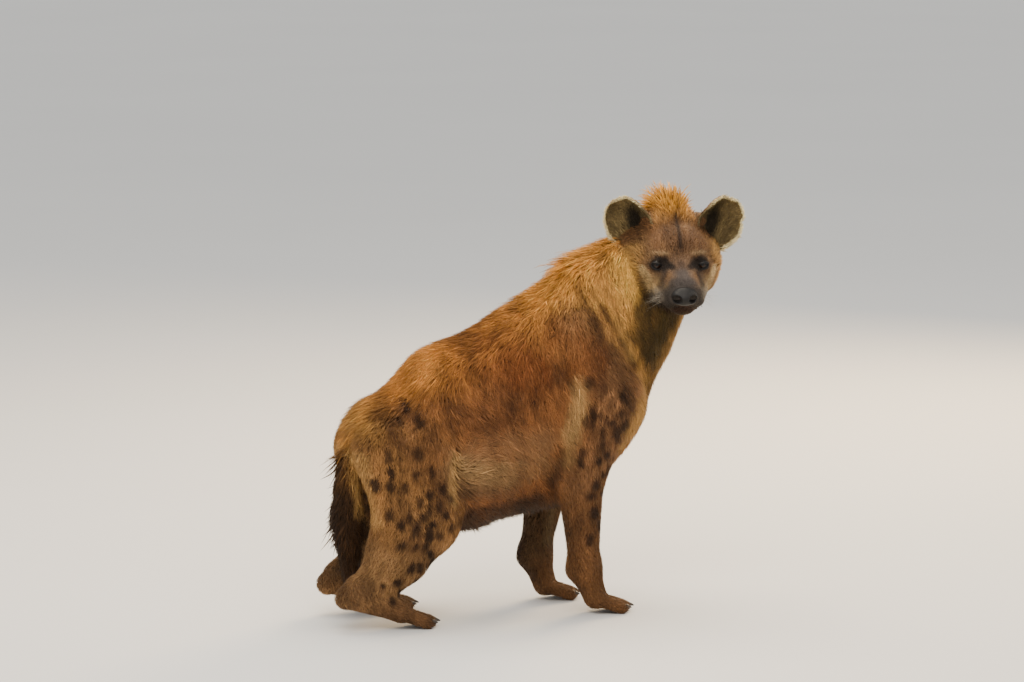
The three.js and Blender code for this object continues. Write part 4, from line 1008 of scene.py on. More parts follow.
@dataclass
class Skin:
    """The whole hide under the coat, with folds, lids and lips, in one closed mesh."""

    step: float = 4.3
    mouth_depth: float = 2.6
    flesh: Field = field(init=False)
    surface: Surface = field(init=False)

    def build(self, painter: Painter) -> bpy.types.Object:
        """Meshes the hide.

        Args:
            painter: gives the markings.

        Returns:
            The skin object.
        """
        self.flesh = Field(self.step)
        points, quads = surface_nets(self.flesh.value + self.flesh.depth, self.flesh.low, self.step)
        points, faces = self.refined(points, quads)
        self.sculpt(points)
        self.shape_feet(points)
        points[:, 2] = np.maximum(points[:, 2], 0)
        normals = vertex_normals(points, faces)
        self.surface = self.grown(points, faces, normals)
        root, tip = painter.colours(points + normals * 4, normals, self.surface.zones)
        skin = add_mesh("hide", points, faces)
        depth = self.surface.column("depth")[:, None]
        # The hide is darker where the coat is deeper: painted shade under the coat.
        share = 0.95 - 0.25 * smooth_step(depth, 4, 11)
        paint(skin, share * (0.7 * root + 0.3 * tip))
        return skin

    def refined(self, points: Array, quads: Array) -> tuple[Array, Array]:
        """Halves the faces of the head's front and the feet, and those by the eyes and lips twice."""
        mesh = bpy.data.meshes.new("coarse")
        mesh.from_pydata(points.tolist(), [], quads.tolist())
        bm = bmesh.new()
        bm.from_mesh(mesh)
        for chosen in (self.near_face, self.near_details):
            bm.verts.index_update()
            places = np.array([v.co for v in bm.verts])
            fine = chosen(places)
            edges = [e for e in bm.edges if fine[e.verts[0].index] and fine[e.verts[1].index]]
            bmesh.ops.subdivide_edges(bm, edges=edges, cuts=1, use_grid_fill=True)
        bmesh.ops.triangulate(bm, faces=bm.faces[:])
        bm.to_mesh(mesh)
        bm.free()
        out = np.empty(len(mesh.vertices) * 3, np.float32)
        mesh.vertices.foreach_get("co", out)
        loops = np.empty(len(mesh.loops), np.int32)
        mesh.loops.foreach_get("vertex_index", loops)
        bpy.data.meshes.remove(mesh)
        return out.reshape(-1, 3).astype(float), loops.reshape(-1, 3)

    @staticmethod
    def near_face(points: Array) -> Array:
        """Chooses the points of the head's front and of the feet."""
        local = HEAD.local(points)
        face = (local[:, 0] > -52) & (np.abs(local[:, 1]) < 104) & (points[:, 2] > HEAD_FLOOR)
        return face | (points[:, 2] < FOOT_TOP)

    @staticmethod
    def near_details(points: Array) -> Array:
        """Chooses the points by the eyes and the lips."""
        local = HEAD.local(points)
        lips = (local[:, 0] > 30) & (local[:, 2] < -62) & (points[:, 2] > HEAD_FLOOR)
        for opening in OPENINGS:
            lips |= np.linalg.norm(points - opening.centre, axis=1) < 25
        return lips

    @staticmethod
    def mouth_line() -> list[Array]:
        """The closed lips from one corner to the other, on the flesh."""
        line = []
        for share in np.linspace(-1, 1, 17):
            swing = math.radians(112) * share
            centre = HEAD.place(26, 0, -80 + 12 * share * share)
            out = HEAD.direction(math.cos(swing), math.sin(swing), 0)
            reach = np.linspace(10, 120, 56)
            along = centre + reach[:, None] * out
            inside = union_value(BODY_MUSCLES, along) < -1.4
            line.append(along[inside.sum() - 1])
        return line

    def sculpt(self, points: Array) -> None:
        """Moves the points of the face onto the finer shape with lids, lips and folds."""
        face = np.flatnonzero(self.near_face(points) & (points[:, 2] > 600))
        mouth = self.mouth_line()
        width = (self.mouth_depth, self.mouth_depth)
        grooves = [Muscle(a, b, width, width, 3, Zone.FACE) for a, b in zip(mouth[:-1], mouth[1:])]
        grooves += self.folds()
        depth = self.flesh.read(self.flesh.depth, points[face])
        local = HEAD.local(points[face])
        under_nose = smooth_step(-Nose.outline(local), -1, 5) * 9
        depth = depth + under_nose

        def value(places: Array) -> Array:
            """The skin's own field with its details."""
            total = union_value(BODY_MUSCLES, places) + depth
            for opening in OPENINGS:
                total = smooth_union(total, opening.lid_distance(places), 5)
            for groove in grooves:
                total = smooth_cut(total, groove.distance(places), groove.blend)
            return total

        points[face] = self.projected(points[face], value)

    def shape_feet(self, points: Array) -> None:
        """Moves the points of the feet onto the finer shape with clefts between the toes."""
        for leg in LEGS.values():
            reach = np.abs(points - np.array(leg.toe)) < (130, 60, 60)
            foot = np.flatnonzero(reach.all(axis=1) & (points[:, 2] < 58))
            depth = self.flesh.read(self.flesh.depth, points[foot])
            muscles, clefts = leg.muscles(), toe_grooves(leg)

            def value(places: Array) -> Array:
                """The foot's own field with its clefts."""
                total = union_value(muscles, places) + depth
                for cleft in clefts:
                    total = smooth_cut(total, cleft.distance(places), cleft.blend)
                return total

            points[foot] = self.projected(points[foot], value)

    @staticmethod
    def projected(places: Array, value: Callable[[Array], Array]) -> Array:
        """Points moved to where a field is zero, by a few short steps."""
        for _ in range(5):
            here = value(places)
            rise = np.stack([value(places + 0.5 * np.eye(3)[k]) - here for k in range(3)], axis=-1) * 2
            size = (rise * rise).sum(1) + 0.05
            places = places - rise * (np.clip(here, -2.5, 2.5) / size)[:, None]
        return places

    @staticmethod
    def folds() -> list[Muscle]:
        """Shallow furrows: over and under the eyes, between the brows and behind the lips."""
        paths = [((20, 0, 30), (-30, 0, 62), 2.2), ((140, 0, -84), (128, 0, -70), 1.6)]
        for s in (RIGHT, LEFT):
            paths += [
                ((22, s * 12, 14), (-6, s * 15, 46), 2.0),
                ((12, s * 30, 20), (4, s * 52, 27), 1.8),
                ((4, s * 52, 27), (-16, s * 74, 18), 1.8),
                ((22, s * 28, -16), (14, s * 50, -22), 1.6),
                ((14, s * 50, -22), (-8, s * 74, -14), 1.6),
                ((34, s * 34, -18), (28, s * 58, -54), 2.4),
            ]
        return [
            Muscle(HEAD.place(*a), HEAD.place(*b), (r, r), (r * 0.8, r * 0.8), 6, Zone.FACE)
            for a, b, r in paths
        ]

    def grown(self, points: Array, faces: Array, normals: Array) -> Surface:
        """Works out the coat's growth and lie at each vertex."""
        muscles = [*BODY_MUSCLES, *TAIL_MUSCLES]
        nearest = np.full(len(points), 1e9)
        distances = np.empty((len(muscles), len(points)), np.float32)
        for row, muscle in enumerate(muscles):
            distances[row] = muscle.distance(points)
            nearest = np.minimum(nearest, distances[row])
        weights = np.exp(-np.clip(distances - nearest, 0, 200) / 11)
        weights /= weights.sum(0)
        zones = np.zeros((len(points), len(ZONES)))
        flow = np.zeros((len(points), 3))
        local = HEAD.local(points)
        from_nose = unit(points - HEAD.place(112, 0, -52))
        for row, muscle in enumerate(muscles):
            zones[:, ZONES.index(muscle.zone)] += weights[row]
            lie = from_nose if muscle.zone in HEAD_ZONES else muscle.lie
            if muscle.zone is Zone.CROWN:
                lie = unit(lie + 0.9 * np.clip(local[:, 1:2] / 40, -0.7, 1) * HEAD.axes()[1])
            flow += weights[row][:, None] * lie
        flow = self.whorl(points, zones, flow)
        self.lower_coat(points, normals, zones)
        self.head_coat(local, points, zones)
        growth = zones @ np.array([z.value.sizes() for z in ZONES])
        off_top = (points - np.array(RUMP_TOP)) * (1, 0.6, 1)
        fluff = np.exp(-((np.linalg.norm(off_top, axis=1) / 60) ** 2))
        for key, more in (("stand", 8), ("length", 5)):
            growth[:, GROWTH_KEYS.index(key)] += more * fluff
        flow = unit(flow - (flow * normals).sum(1, keepdims=True) * normals)
        bare = self.bare_skin(points, normals, local)
        return Surface(points, normals, faces, flow, growth, zones, bare)

    @staticmethod
    def whorl(points: Array, zones: Array, flow: Array) -> Array:
        """Turns the coat of the lower flank so that it fans out from the groin."""
        away = (points - np.array(GROIN)) * (1, 0, 1)
        reach = np.linalg.norm(away, axis=1)
        share = np.exp(-((reach / 150) ** 2)) * zones[:, ZONES.index(Zone.FLANK)]
        share = share * smooth_step(away[:, 0], 5, 35)
        return unit(flow) * (1 - share)[:, None] + unit(away) * share[:, None]

    @staticmethod
    def lower_coat(points: Array, normals: Array, zones: Array) -> None:
        """Turns the underside of the ribs into belly, whose fringe hangs."""
        flank = ZONES.index(Zone.FLANK)
        # Faces that look down take the belly's near-black colours: painted shade of the underside.
        share = smooth_step(-normals[:, 2], 0.5, 0.85) * zones[:, flank]
        zones[:, flank] -= share
        zones[:, ZONES.index(Zone.BELLY)] += share

    @staticmethod
    def head_coat(local: Array, points: Array, zones: Array) -> None:
        """Keeps the hair short round the ears' roots, and lengthens it into a ruff on the cheeks."""
        across = np.abs(local[:, 1])
        high = (points[:, 2] > HEAD_FLOOR) & (across < 116)
        ears = smooth_step(across, 34, 50) * smooth_step(local[:, 0], -128, -108)
        ears = ears * smooth_step(local[:, 2], 5, 25)
        ruff = smooth_step(across, 66, 80) * (1 - smooth_step(local[:, 2], 15, 40))
        ruff = ruff * smooth_step(local[:, 0], -95, -75) * (1 - smooth_step(local[:, 0], -18, 0))
        for zone, share in ((Zone.SKULL, ears * high), (Zone.RUFF, ruff * high)):
            zones *= (1 - share)[:, None]
            zones[:, ZONES.index(zone)] += share

    @staticmethod
    def bare_skin(points: Array, normals: Array, local: Array) -> Array:
        """Marks the vertices that grow no hair: eye pockets, nose, lips and soles."""
        bare = (normals[:, 2] < -0.75) & (points[:, 2] < 14)
        for opening in OPENINGS:
            near = np.linalg.norm(points - opening.centre, axis=1) < 24
            bare |= near & (opening.lid_share(points) < 1.25)
        bare |= Nose.outline(local) < 1.5
        return bare.astype(float)


@dataclass
class Coat:
    """Tufts grown from a surface: closed, tapered spindles that lie along the coat."""

    surface: Surface
    painter: Painter
    flesh: Field | None
    seed: int = 1
    limit: int = 190_000
    patch: float = 0.003
    lock_size: float = 15.0
    bold_share: float = 0.25
    counter: int = 0

    RING_PLACES = {1: (0.42,), 2: (0.32, 0.7), 3: (0.24, 0.52, 0.8)}
    RING_SIZES = {1: (1.0,), 2: (1.0, 0.7), 3: (1.0, 0.85, 0.5)}

    def grow(self, name: str, choose: Array, rings: int, thin: float = 1.0) -> list[bpy.types.Object]:
        """Grows tufts on part of the surface.

        Args:
            name: start of the pieces' names.
            choose: how far each vertex takes part, from 0 to 1.
            rings: rings of corners between a tuft's root and its tip.
            thin: share of the full number of tufts.

        Returns:
            The pieces, each within the limit of triangles.
        """
        chance = np.random.default_rng(self.seed)
        self.seed += 1
        s = self.surface
        corners = s.points[s.triangles]
        fan = np.cross(corners[:, 1] - corners[:, 0], corners[:, 2] - corners[:, 0])
        area = 0.5 * np.linalg.norm(fan, axis=1)
        spacing = s.column("spacing")
        density = thin * choose * (1 - s.bare) / spacing**2
        wanted = area * density[s.triangles].mean(1)
        running = np.cumsum(wanted)
        total = int(running[-1])
        if total == 0:
            return []
        at = (np.arange(total) + chance.random(total)) * running[-1] / total
        face = np.minimum(np.searchsorted(running, at), len(wanted) - 1)
        u, w = np.sqrt(chance.random(total)), chance.random(total)
        share = np.stack([1 - u, u * (1 - w), u * w], axis=1)
        mesh = self.tufts(s.triangles[face], share, rings, chance)
        return self.pieces(name, mesh, rings, total)

    def tufts(
        self, corners: Array, share: Array, rings: int, chance: np.random.Generator
    ) -> dict[str, Array]:
        """Shapes the tufts that stand at given places of the surface."""
        s = self.surface

        def blend(values: Array) -> Array:
            """Reads vertex values at the tufts' roots."""
            return np.einsum("nk,nk...->n...", share, values[corners])

        count = len(corners)
        root, normal = blend(s.points), unit(blend(s.normals))
        depth, length, width, _, stand, clump = blend(s.growth).T
        flow = unit(blend(s.flow))
        across = np.cross(normal, flow)
        yaw = 0.26 * chance.normal(size=count) + 0.45 * self.painter.noise.at(root + 300, 55.0)
        flow = unit(flow + across * yaw[:, None])
        across = np.cross(normal, flow)
        bold = chance.random(count) < self.bold_share
        width = width * np.where(bold, 1.5, 0.92)
        length = length * np.where(bold, 1.25, 1) * (1 + 0.22 * chance.normal(size=count).clip(-2, 2))
        stand = stand * (0.6 + 0.8 * chance.random(count)) + 0.14 * depth * chance.normal(size=count)
        pull = self.lock_pull(root, normal, length) * clump[:, None]
        bend = 0.12 * length * chance.normal(size=count)

        def spine(t: float) -> Array:
            """A point on each tuft's middle line."""
            level = -depth - 1.5 + (depth + stand + 1.5) * (1 - (1 - t) ** 1.8)
            reach = (length * t)[:, None]
            place = root + flow * reach + pull * t * t + across * (bend * t * t)[:, None]
            place = place + normal * (level + depth)[:, None]
            if self.flesh is not None:
                place = self.settled(place, level, stand, length)
            return place

        places = self.RING_PLACES[rings]
        line = [spine(0.0), *(spine(t) for t in places), spine(1.0)]
        line[0] = root - normal * 1.5
        verts = [line[0]]
        for k, size in enumerate(self.RING_SIZES[rings]):
            ahead = unit(line[k + 2] - line[k])
            side = unit(np.cross(normal, ahead))
            over = np.cross(ahead, side)
            half = (0.5 * width * size)[:, None]
            centre = line[k + 1]
            verts += [centre - side * half, centre + side * half, centre + over * half * 0.55]
        verts.append(line[-1])
        for vert in verts:
            vert[:, 2] = np.maximum(vert[:, 2], 0.2)
        visible = line[-2] * 0.5 + line[-1] * 0.5
        root_colour, tip_colour = self.painter.colours(visible, normal, blend(s.zones))
        lock_tone = np.sin(self.lock_seed(root) * 5.3)
        spread = np.where(bold, 0.3, 0.17) * chance.normal(size=count).clip(-1.8, 2.2)
        tone = (1 + spread + 0.17 * lock_tone)[:, None]
        dark = root_colour * 0.84 * tone
        middle = (0.55 * root_colour + 0.45 * tip_colour) * tone
        bright = tip_colour * tone * 1.08
        steps = [dark, *([middle] * 3), *([0.5 * middle + 0.5 * bright] * 3 * (rings - 1)), bright]
        return {
            "verts": np.stack(verts, axis=1),
            "colours": np.stack(steps, axis=1),
            "root": root,
            "normal": normal,
        }

    def lock_pull(self, root: Array, normal: Array, length: Array) -> Array:
        """How far each tuft's tip is drawn to the middle of its lock."""
        near = np.clip(length / 34, 0.3, 1)[:, None]
        seed = self.lock_seed(root)
        jitter = np.stack([np.sin(seed * k) * 0.5 for k in (1.0, 2.3, 3.7)], axis=-1)
        pull = (np.floor(root / self.lock_size) + 0.5 + 0.4 * jitter) * self.lock_size - root
        return near * (pull - (pull * normal).sum(1, keepdims=True) * normal)

    def lock_seed(self, root: Array) -> Array:
        """A number that the tufts of one lock share."""
        return (np.floor(root / self.lock_size) * (127.1, 311.7, 74.7)).sum(1)

    def settled(self, place: Array, level: Array, stand: Array, length: Array) -> Array:
        """Brings points to their level over the flesh, except where the coat stands high or is short."""
        error = np.clip(level - self.flesh.read(self.flesh.value, place), -14, 14)
        error *= np.clip((26 - stand) / 12, 0, 1) * smooth_step(length, 7, 15)
        return place + self.flesh.outward(place) * error[:, None]

    def pieces(self, name: str, mesh: dict[str, Array], rings: int, total: int) -> list[bpy.types.Object]:
        """Splits the tufts into pieces within the limit of triangles."""
        last = 3 * rings + 1
        fan = [(0, k + 1, (k + 1) % 3 + 1) for k in range(3)]
        for ring in range(rings - 1):
            for k in range(3):
                a, b = 3 * ring + k + 1, 3 * ring + (k + 1) % 3 + 1
                fan += [(a, a + 3, b + 3), (a, b + 3, b)]
        low = 3 * (rings - 1)
        fan += [(low + k + 1, last, low + (k + 1) % 3 + 1) for k in range(3)]
        fan_array = np.array(fan)[:, ::-1]
        most = self.limit // len(fan)
        parts = math.ceil(total / most)
        made = []
        for part in range(parts):
            chosen = slice(part * total // parts, (part + 1) * total // parts)
            verts = mesh["verts"][chosen]
            count = len(verts)
            faces = fan_array[None] + (np.arange(count) * (last + 1))[:, None, None]
            suffix = f"_{part + 1}" if parts > 1 else ""
            piece = add_mesh(f"{name}{suffix}", verts.reshape(-1, 3), faces.reshape(-1, 3))
            paint(piece, mesh["colours"][chosen].reshape(-1, 3))
            self.bake_map(piece, mesh["root"][chosen], mesh["normal"][chosen], rings)
            self.counter += count * len(fan)
            made.append(piece)
        return made

    def bake_map(self, piece: bpy.types.Object, root: Array, normal: Array, rings: int) -> None:
        """Gives each tuft its own small patch, at its root's place on an unwrap of the skin."""
        axis = np.abs(normal).argmax(1)
        facing = normal[np.arange(len(axis)), axis] > 0
        low, high = root.min(0), root.max(0)
        share = (root - low) / np.maximum(high - low, 1)
        pair = np.array([(1, 2), (0, 2), (0, 1)])[axis]
        inside = np.stack([share[np.arange(len(axis)), pair[:, k]] for k in range(2)], axis=-1)
        tile = np.stack([axis / 3, facing * 0.5], axis=-1)
        home = tile + 0.005 + inside * (0.323, 0.49)
        across = np.array([0.0, *([-1, 1, 0] * rings), 0.0])
        along = np.array([-1, *np.repeat(np.array(self.RING_PLACES[rings]) * 2 - 1, 3), 1])
        local = np.stack([across, along], axis=-1) * (self.patch / 2)
        per_vertex = (home[:, None, :] + local[None]).reshape(-1, 2)
        loops = np.empty(len(piece.data.loops), np.int32)
        piece.data.loops.foreach_get("vertex_index", loops)
        layer = piece.data.uv_layers.new(name=BAKE_MAP)
        layer.data.foreach_set("uv", per_vertex[loops].astype(np.float32).ravel())


def add_node(tree: bpy.types.NodeTree, kind: str, settings: dict[str, Any], **links: Any) -> bpy.types.Node:
    """Adds a node to a material.

    Args:
        tree: the node tree.
        kind: the node's type name.
        settings: values of its sockets by name or number, or properties by a name that starts with a dot.
        links: outputs of other nodes, by the name of the input with underscores for spaces.

    Returns:
        The node.
    """
    node = tree.nodes.new(kind)
    for key, value in settings.items():
        if isinstance(key, str) and key.startswith("."):
            setattr(node, key[1:], value)
        else:
            node.inputs[key].default_value = value
    for key, output in links.items():
        socket = node.inputs[int(key[1:])] if key[0] == "_" else node.inputs[key.replace("_", " ")]
        tree.links.new(output, socket)
    return node


class Shading:
    """A material in the making, whose patterns lie in the object's own coordinates."""

    def __init__(self, name: str) -> None:
        """Starts the material."""
        self.material = bpy.data.materials.new(name)
        self.material.use_nodes = True
        self.tree = self.material.node_tree
        self.shader = self.tree.nodes["Principled BSDF"]
        self.place = self.add("TexCoord", {}).outputs["Object"]

    def add(self, kind: str, settings: dict[Any, Any], **links: Any) -> bpy.types.Node:
        """Adds a shader node."""
        return add_node(self.tree, f"ShaderNode{kind}", settings, **links)

    def markings(self) -> Any:
        """The colours stored at the vertices."""
        return self.add("Attribute", {".attribute_name": MARKINGS}).outputs["Color"]

    def noise(self, scale: float, detail: float = 2.0, roughness: float = 0.5, place: Any = None) -> Any:
        """Cloudy noise from 0 to 1, with its scale in cells a metre."""
        settings = {"Scale": scale, "Detail": detail, "Roughness": roughness}
        return self.add("TexNoise", settings, Vector=place or self.place).outputs["Fac"]

    def varied(self, colour: Any, pattern: Any, low: float, high: float) -> Any:
        """A colour, as a hex value or an output, made darker and lighter by a pattern."""
        tone = self.add("MapRange", {"To Min": low, "To Max": high}, Value=pattern)
        settings = {".data_type": "RGBA", ".blend_type": "MULTIPLY", 0: 1.0}
        links = {"_7": tone.outputs["Result"]}
        if isinstance(colour, str):
            settings[6] = rgba(colour)
        else:
            links["_6"] = colour
        return self.add("Mix", settings, **links).outputs[2]

    def between(self, first: str, second: str, pattern: Any) -> Any:
        """Two hex colours mixed by a pattern."""
        settings = {".data_type": "RGBA", 6: rgba(first), 7: rgba(second)}
        return self.add("Mix", settings, _0=pattern).outputs[2]

    def relief(self, pattern: Any, strength: float, depth_mm: float, invert: bool = False) -> None:
        """Bumps the surface by a pattern."""
        settings = {"Strength": strength, "Distance": depth_mm * METRES, ".invert": invert}
        bump = self.add("Bump", settings, Height=pattern)
        self.tree.links.new(bump.outputs["Normal"], self.shader.inputs["Normal"])

    def finish(self, colour: Any, **values: Any) -> bpy.types.Material:
        """Links the colour and sets the shader's constants, named with underscores for spaces."""
        self.tree.links.new(colour, self.shader.inputs["Base Color"])
        for name, value in values.items():
            self.shader.inputs[name.replace("_", " ")].default_value = value
        return self.material


@dataclass(frozen=True)
class HairFinish:
    """Keratin hair, grown: it scatters along its length, so it looks satin and never wet."""

    name: str = "hyena_hair"
    roughness: float = 0.6
    specular: float = 0.18
    sheen: float = 0.02
    sheen_tint: str = "#d8b080"
    strand_mm: float = 1.6
    variation: float = 0.35

    def material(self) -> bpy.types.Material:
        """Builds the material from the markings and a fine strand noise."""
        shading = Shading(self.name)
        strands = shading.noise(1 / (self.strand_mm * METRES))
        colour = shading.varied(shading.markings(), strands, 1 - self.variation, 1 + self.variation)
        return shading.finish(
            colour,
            Roughness=self.roughness,
            Specular_IOR_Level=self.specular,
            Sheen_Weight=self.sheen,
            Sheen_Tint=rgba(self.sheen_tint),
        )


@dataclass(frozen=True)
class HideFinish:
    """Hide under short hair: dull, with the fine relief of hair that lies flat on it."""

    name: str = "hyena_hide"
    roughness: float = 0.78
    specular: float = 0.2
    hair_mm: float = 2.2
    relief_mm: float = 0.8
    hair_slope: float = 0.35
    tones: tuple[float, float] = (0.6, 1.5)

    def material(self) -> bpy.types.Material:
        """Builds the material from the markings with a bump of laid hair."""
        shading = Shading(self.name)
        stretched = shading.add("Mapping", {"Scale": (1.0, 1.0, self.hair_slope)}, Vector=shading.place)
        strands = shading.noise(1 / (self.hair_mm * METRES), 4.0, 0.6, stretched.outputs["Vector"])
        colour = shading.varied(shading.markings(), strands, *self.tones)
        shading.relief(strands, 0.7, self.relief_mm)
        return shading.finish(colour, Roughness=self.roughness, Specular_IOR_Level=self.specular)


@dataclass(frozen=True)
class PebbledFinish:
    """Bare black skin with a pebbled grain, slightly moist, as on the nose and the eyelids."""

    name: str
    dark: str = "#0a0908"
    light: str = "#1e1b19"
    roughness: float = 0.48
    grain_mm: float = 2.0
    relief_mm: float = 0.5
    specular: float = 0.25
    patch_mm: float = 11.11

    def material(self) -> bpy.types.Material:
        """Builds the material from cells of the grain and darker patches."""
        shading = Shading(self.name)
        cells = shading.add("TexVoronoi", {"Scale": 1 / (self.grain_mm * METRES)}, Vector=shading.place)
        colour = shading.between(self.dark, self.light, shading.noise(1 / (self.patch_mm * METRES), 3.0))
        shading.relief(cells.outputs["Distance"], 0.6, self.relief_mm, invert=True)
        return shading.finish(colour, Roughness=self.roughness, Specular_IOR_Level=self.specular)


@dataclass(frozen=True)
class EyeFinish:
    """Glass eye with a painted iris behind a polished cornea: a dark gloss with one highlight."""

    name: str = "glass_eye"
    eye_mm: float = 14.0
    pupil_mm: float = 3.6
    iris_mm: float = 8.2
    fibre_mm: float = 1.111
    pupil: str = "#050403"
    inner: str = "#2b170b"
    outer: str = "#120904"
    white: str = "#0b0705"
    roughness: float = 0.3
    gloss: float = 0.3
    gloss_roughness: float = 0.06

    def material(self) -> bpy.types.Material:
        """Builds the iris as rings round the eye's own forward axis."""
        shading = Shading(self.name)
        settings = {".operation": "MULTIPLY", 1: (1.0, 1.0, 0.0)}
        flat = shading.add("VectorMath", settings, _0=shading.place)
        reach = shading.add("VectorMath", {".operation": "LENGTH"}, _0=flat.outputs["Vector"])
        share = shading.add("MapRange", {"From Max": self.eye_mm * METRES}, Value=reach.outputs["Value"])
        rings = shading.add("ValToRGB", {}, Fac=share.outputs["Result"])
        pupil_edge = self.pupil_mm / self.eye_mm
        iris_edge = self.iris_mm / self.eye_mm
        stops = (
            (0.0, self.pupil),
            (pupil_edge, self.pupil),
            (pupil_edge + 0.03, self.inner),
            (iris_edge - 0.08, self.outer),
            (iris_edge, self.pupil),
            (iris_edge + 0.05, self.white),
        )
        ramp = rings.color_ramp
        for element, (position, colour) in zip(ramp.elements, (stops[0], stops[-1])):
            element.position, element.color = position, rgba(colour)
        for position, colour in stops[1:-1]:
            ramp.elements.new(position).color = rgba(colour)
        fibres = shading.noise(1 / (self.fibre_mm * METRES), 3.0)
        return shading.finish(
            shading.varied(rings.outputs["Color"], fibres, 0.6, 1.5),
            Roughness=self.roughness,
            Specular_IOR_Level=0.12,
            Coat_Weight=self.gloss,
            Coat_Roughness=self.gloss_roughness,
        )


@dataclass(frozen=True)
class KeratinFinish:
    """Bare keratin, of claws and bristles: tones that change slowly along it, and a soft gloss."""

    name: str
    dark: str
    light: str
    roughness: float
    band_mm: float

    def material(self) -> bpy.types.Material:
        """Builds the material from growth bands."""
        shading = Shading(self.name)
        bands = shading.noise(1 / (self.band_mm * METRES))
        return shading.finish(shading.between(self.dark, self.light, bands), Roughness=self.roughness)


CLAW_HORN = KeratinFinish("claw_horn", "#1b1512", "#4b4036", 0.38, 3.0)
BRISTLE = KeratinFinish("whisker_bristle", "#4a4035", "#b5ab98", 0.45, 16.67)


@dataclass(frozen=True)
class FloorFinish:
    """Matt painted studio floor: pale and even, so that it only shows the shadow."""

    name: str = "studio_floor"
    colour: str = "#e2e0db"
    roughness: float = 0.9
    cloud_mm: float = 1666.7

    def material(self) -> bpy.types.Material:
        """Builds the paint with a faint unevenness."""
        shading = Shading(self.name)
        cloud = shading.noise(1 / (self.cloud_mm * METRES))
        return shading.finish(shading.varied(self.colour, cloud, 0.97, 1.03), Roughness=self.roughness)


def place_piece(
    piece: bpy.types.Object, material: bpy.types.Material, nodes: Sequence[str] = ()
) -> None:
    """Dresses a piece, puts it on the model's one body and hides the CAD nodes that it stands for."""
    piece.data.materials.clear()
    piece.data.materials.append(material)
    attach(piece, BODY)
    if nodes:
        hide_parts(*nodes)
    LOG.info("%s: %d faces", piece.name, len(piece.data.polygons))


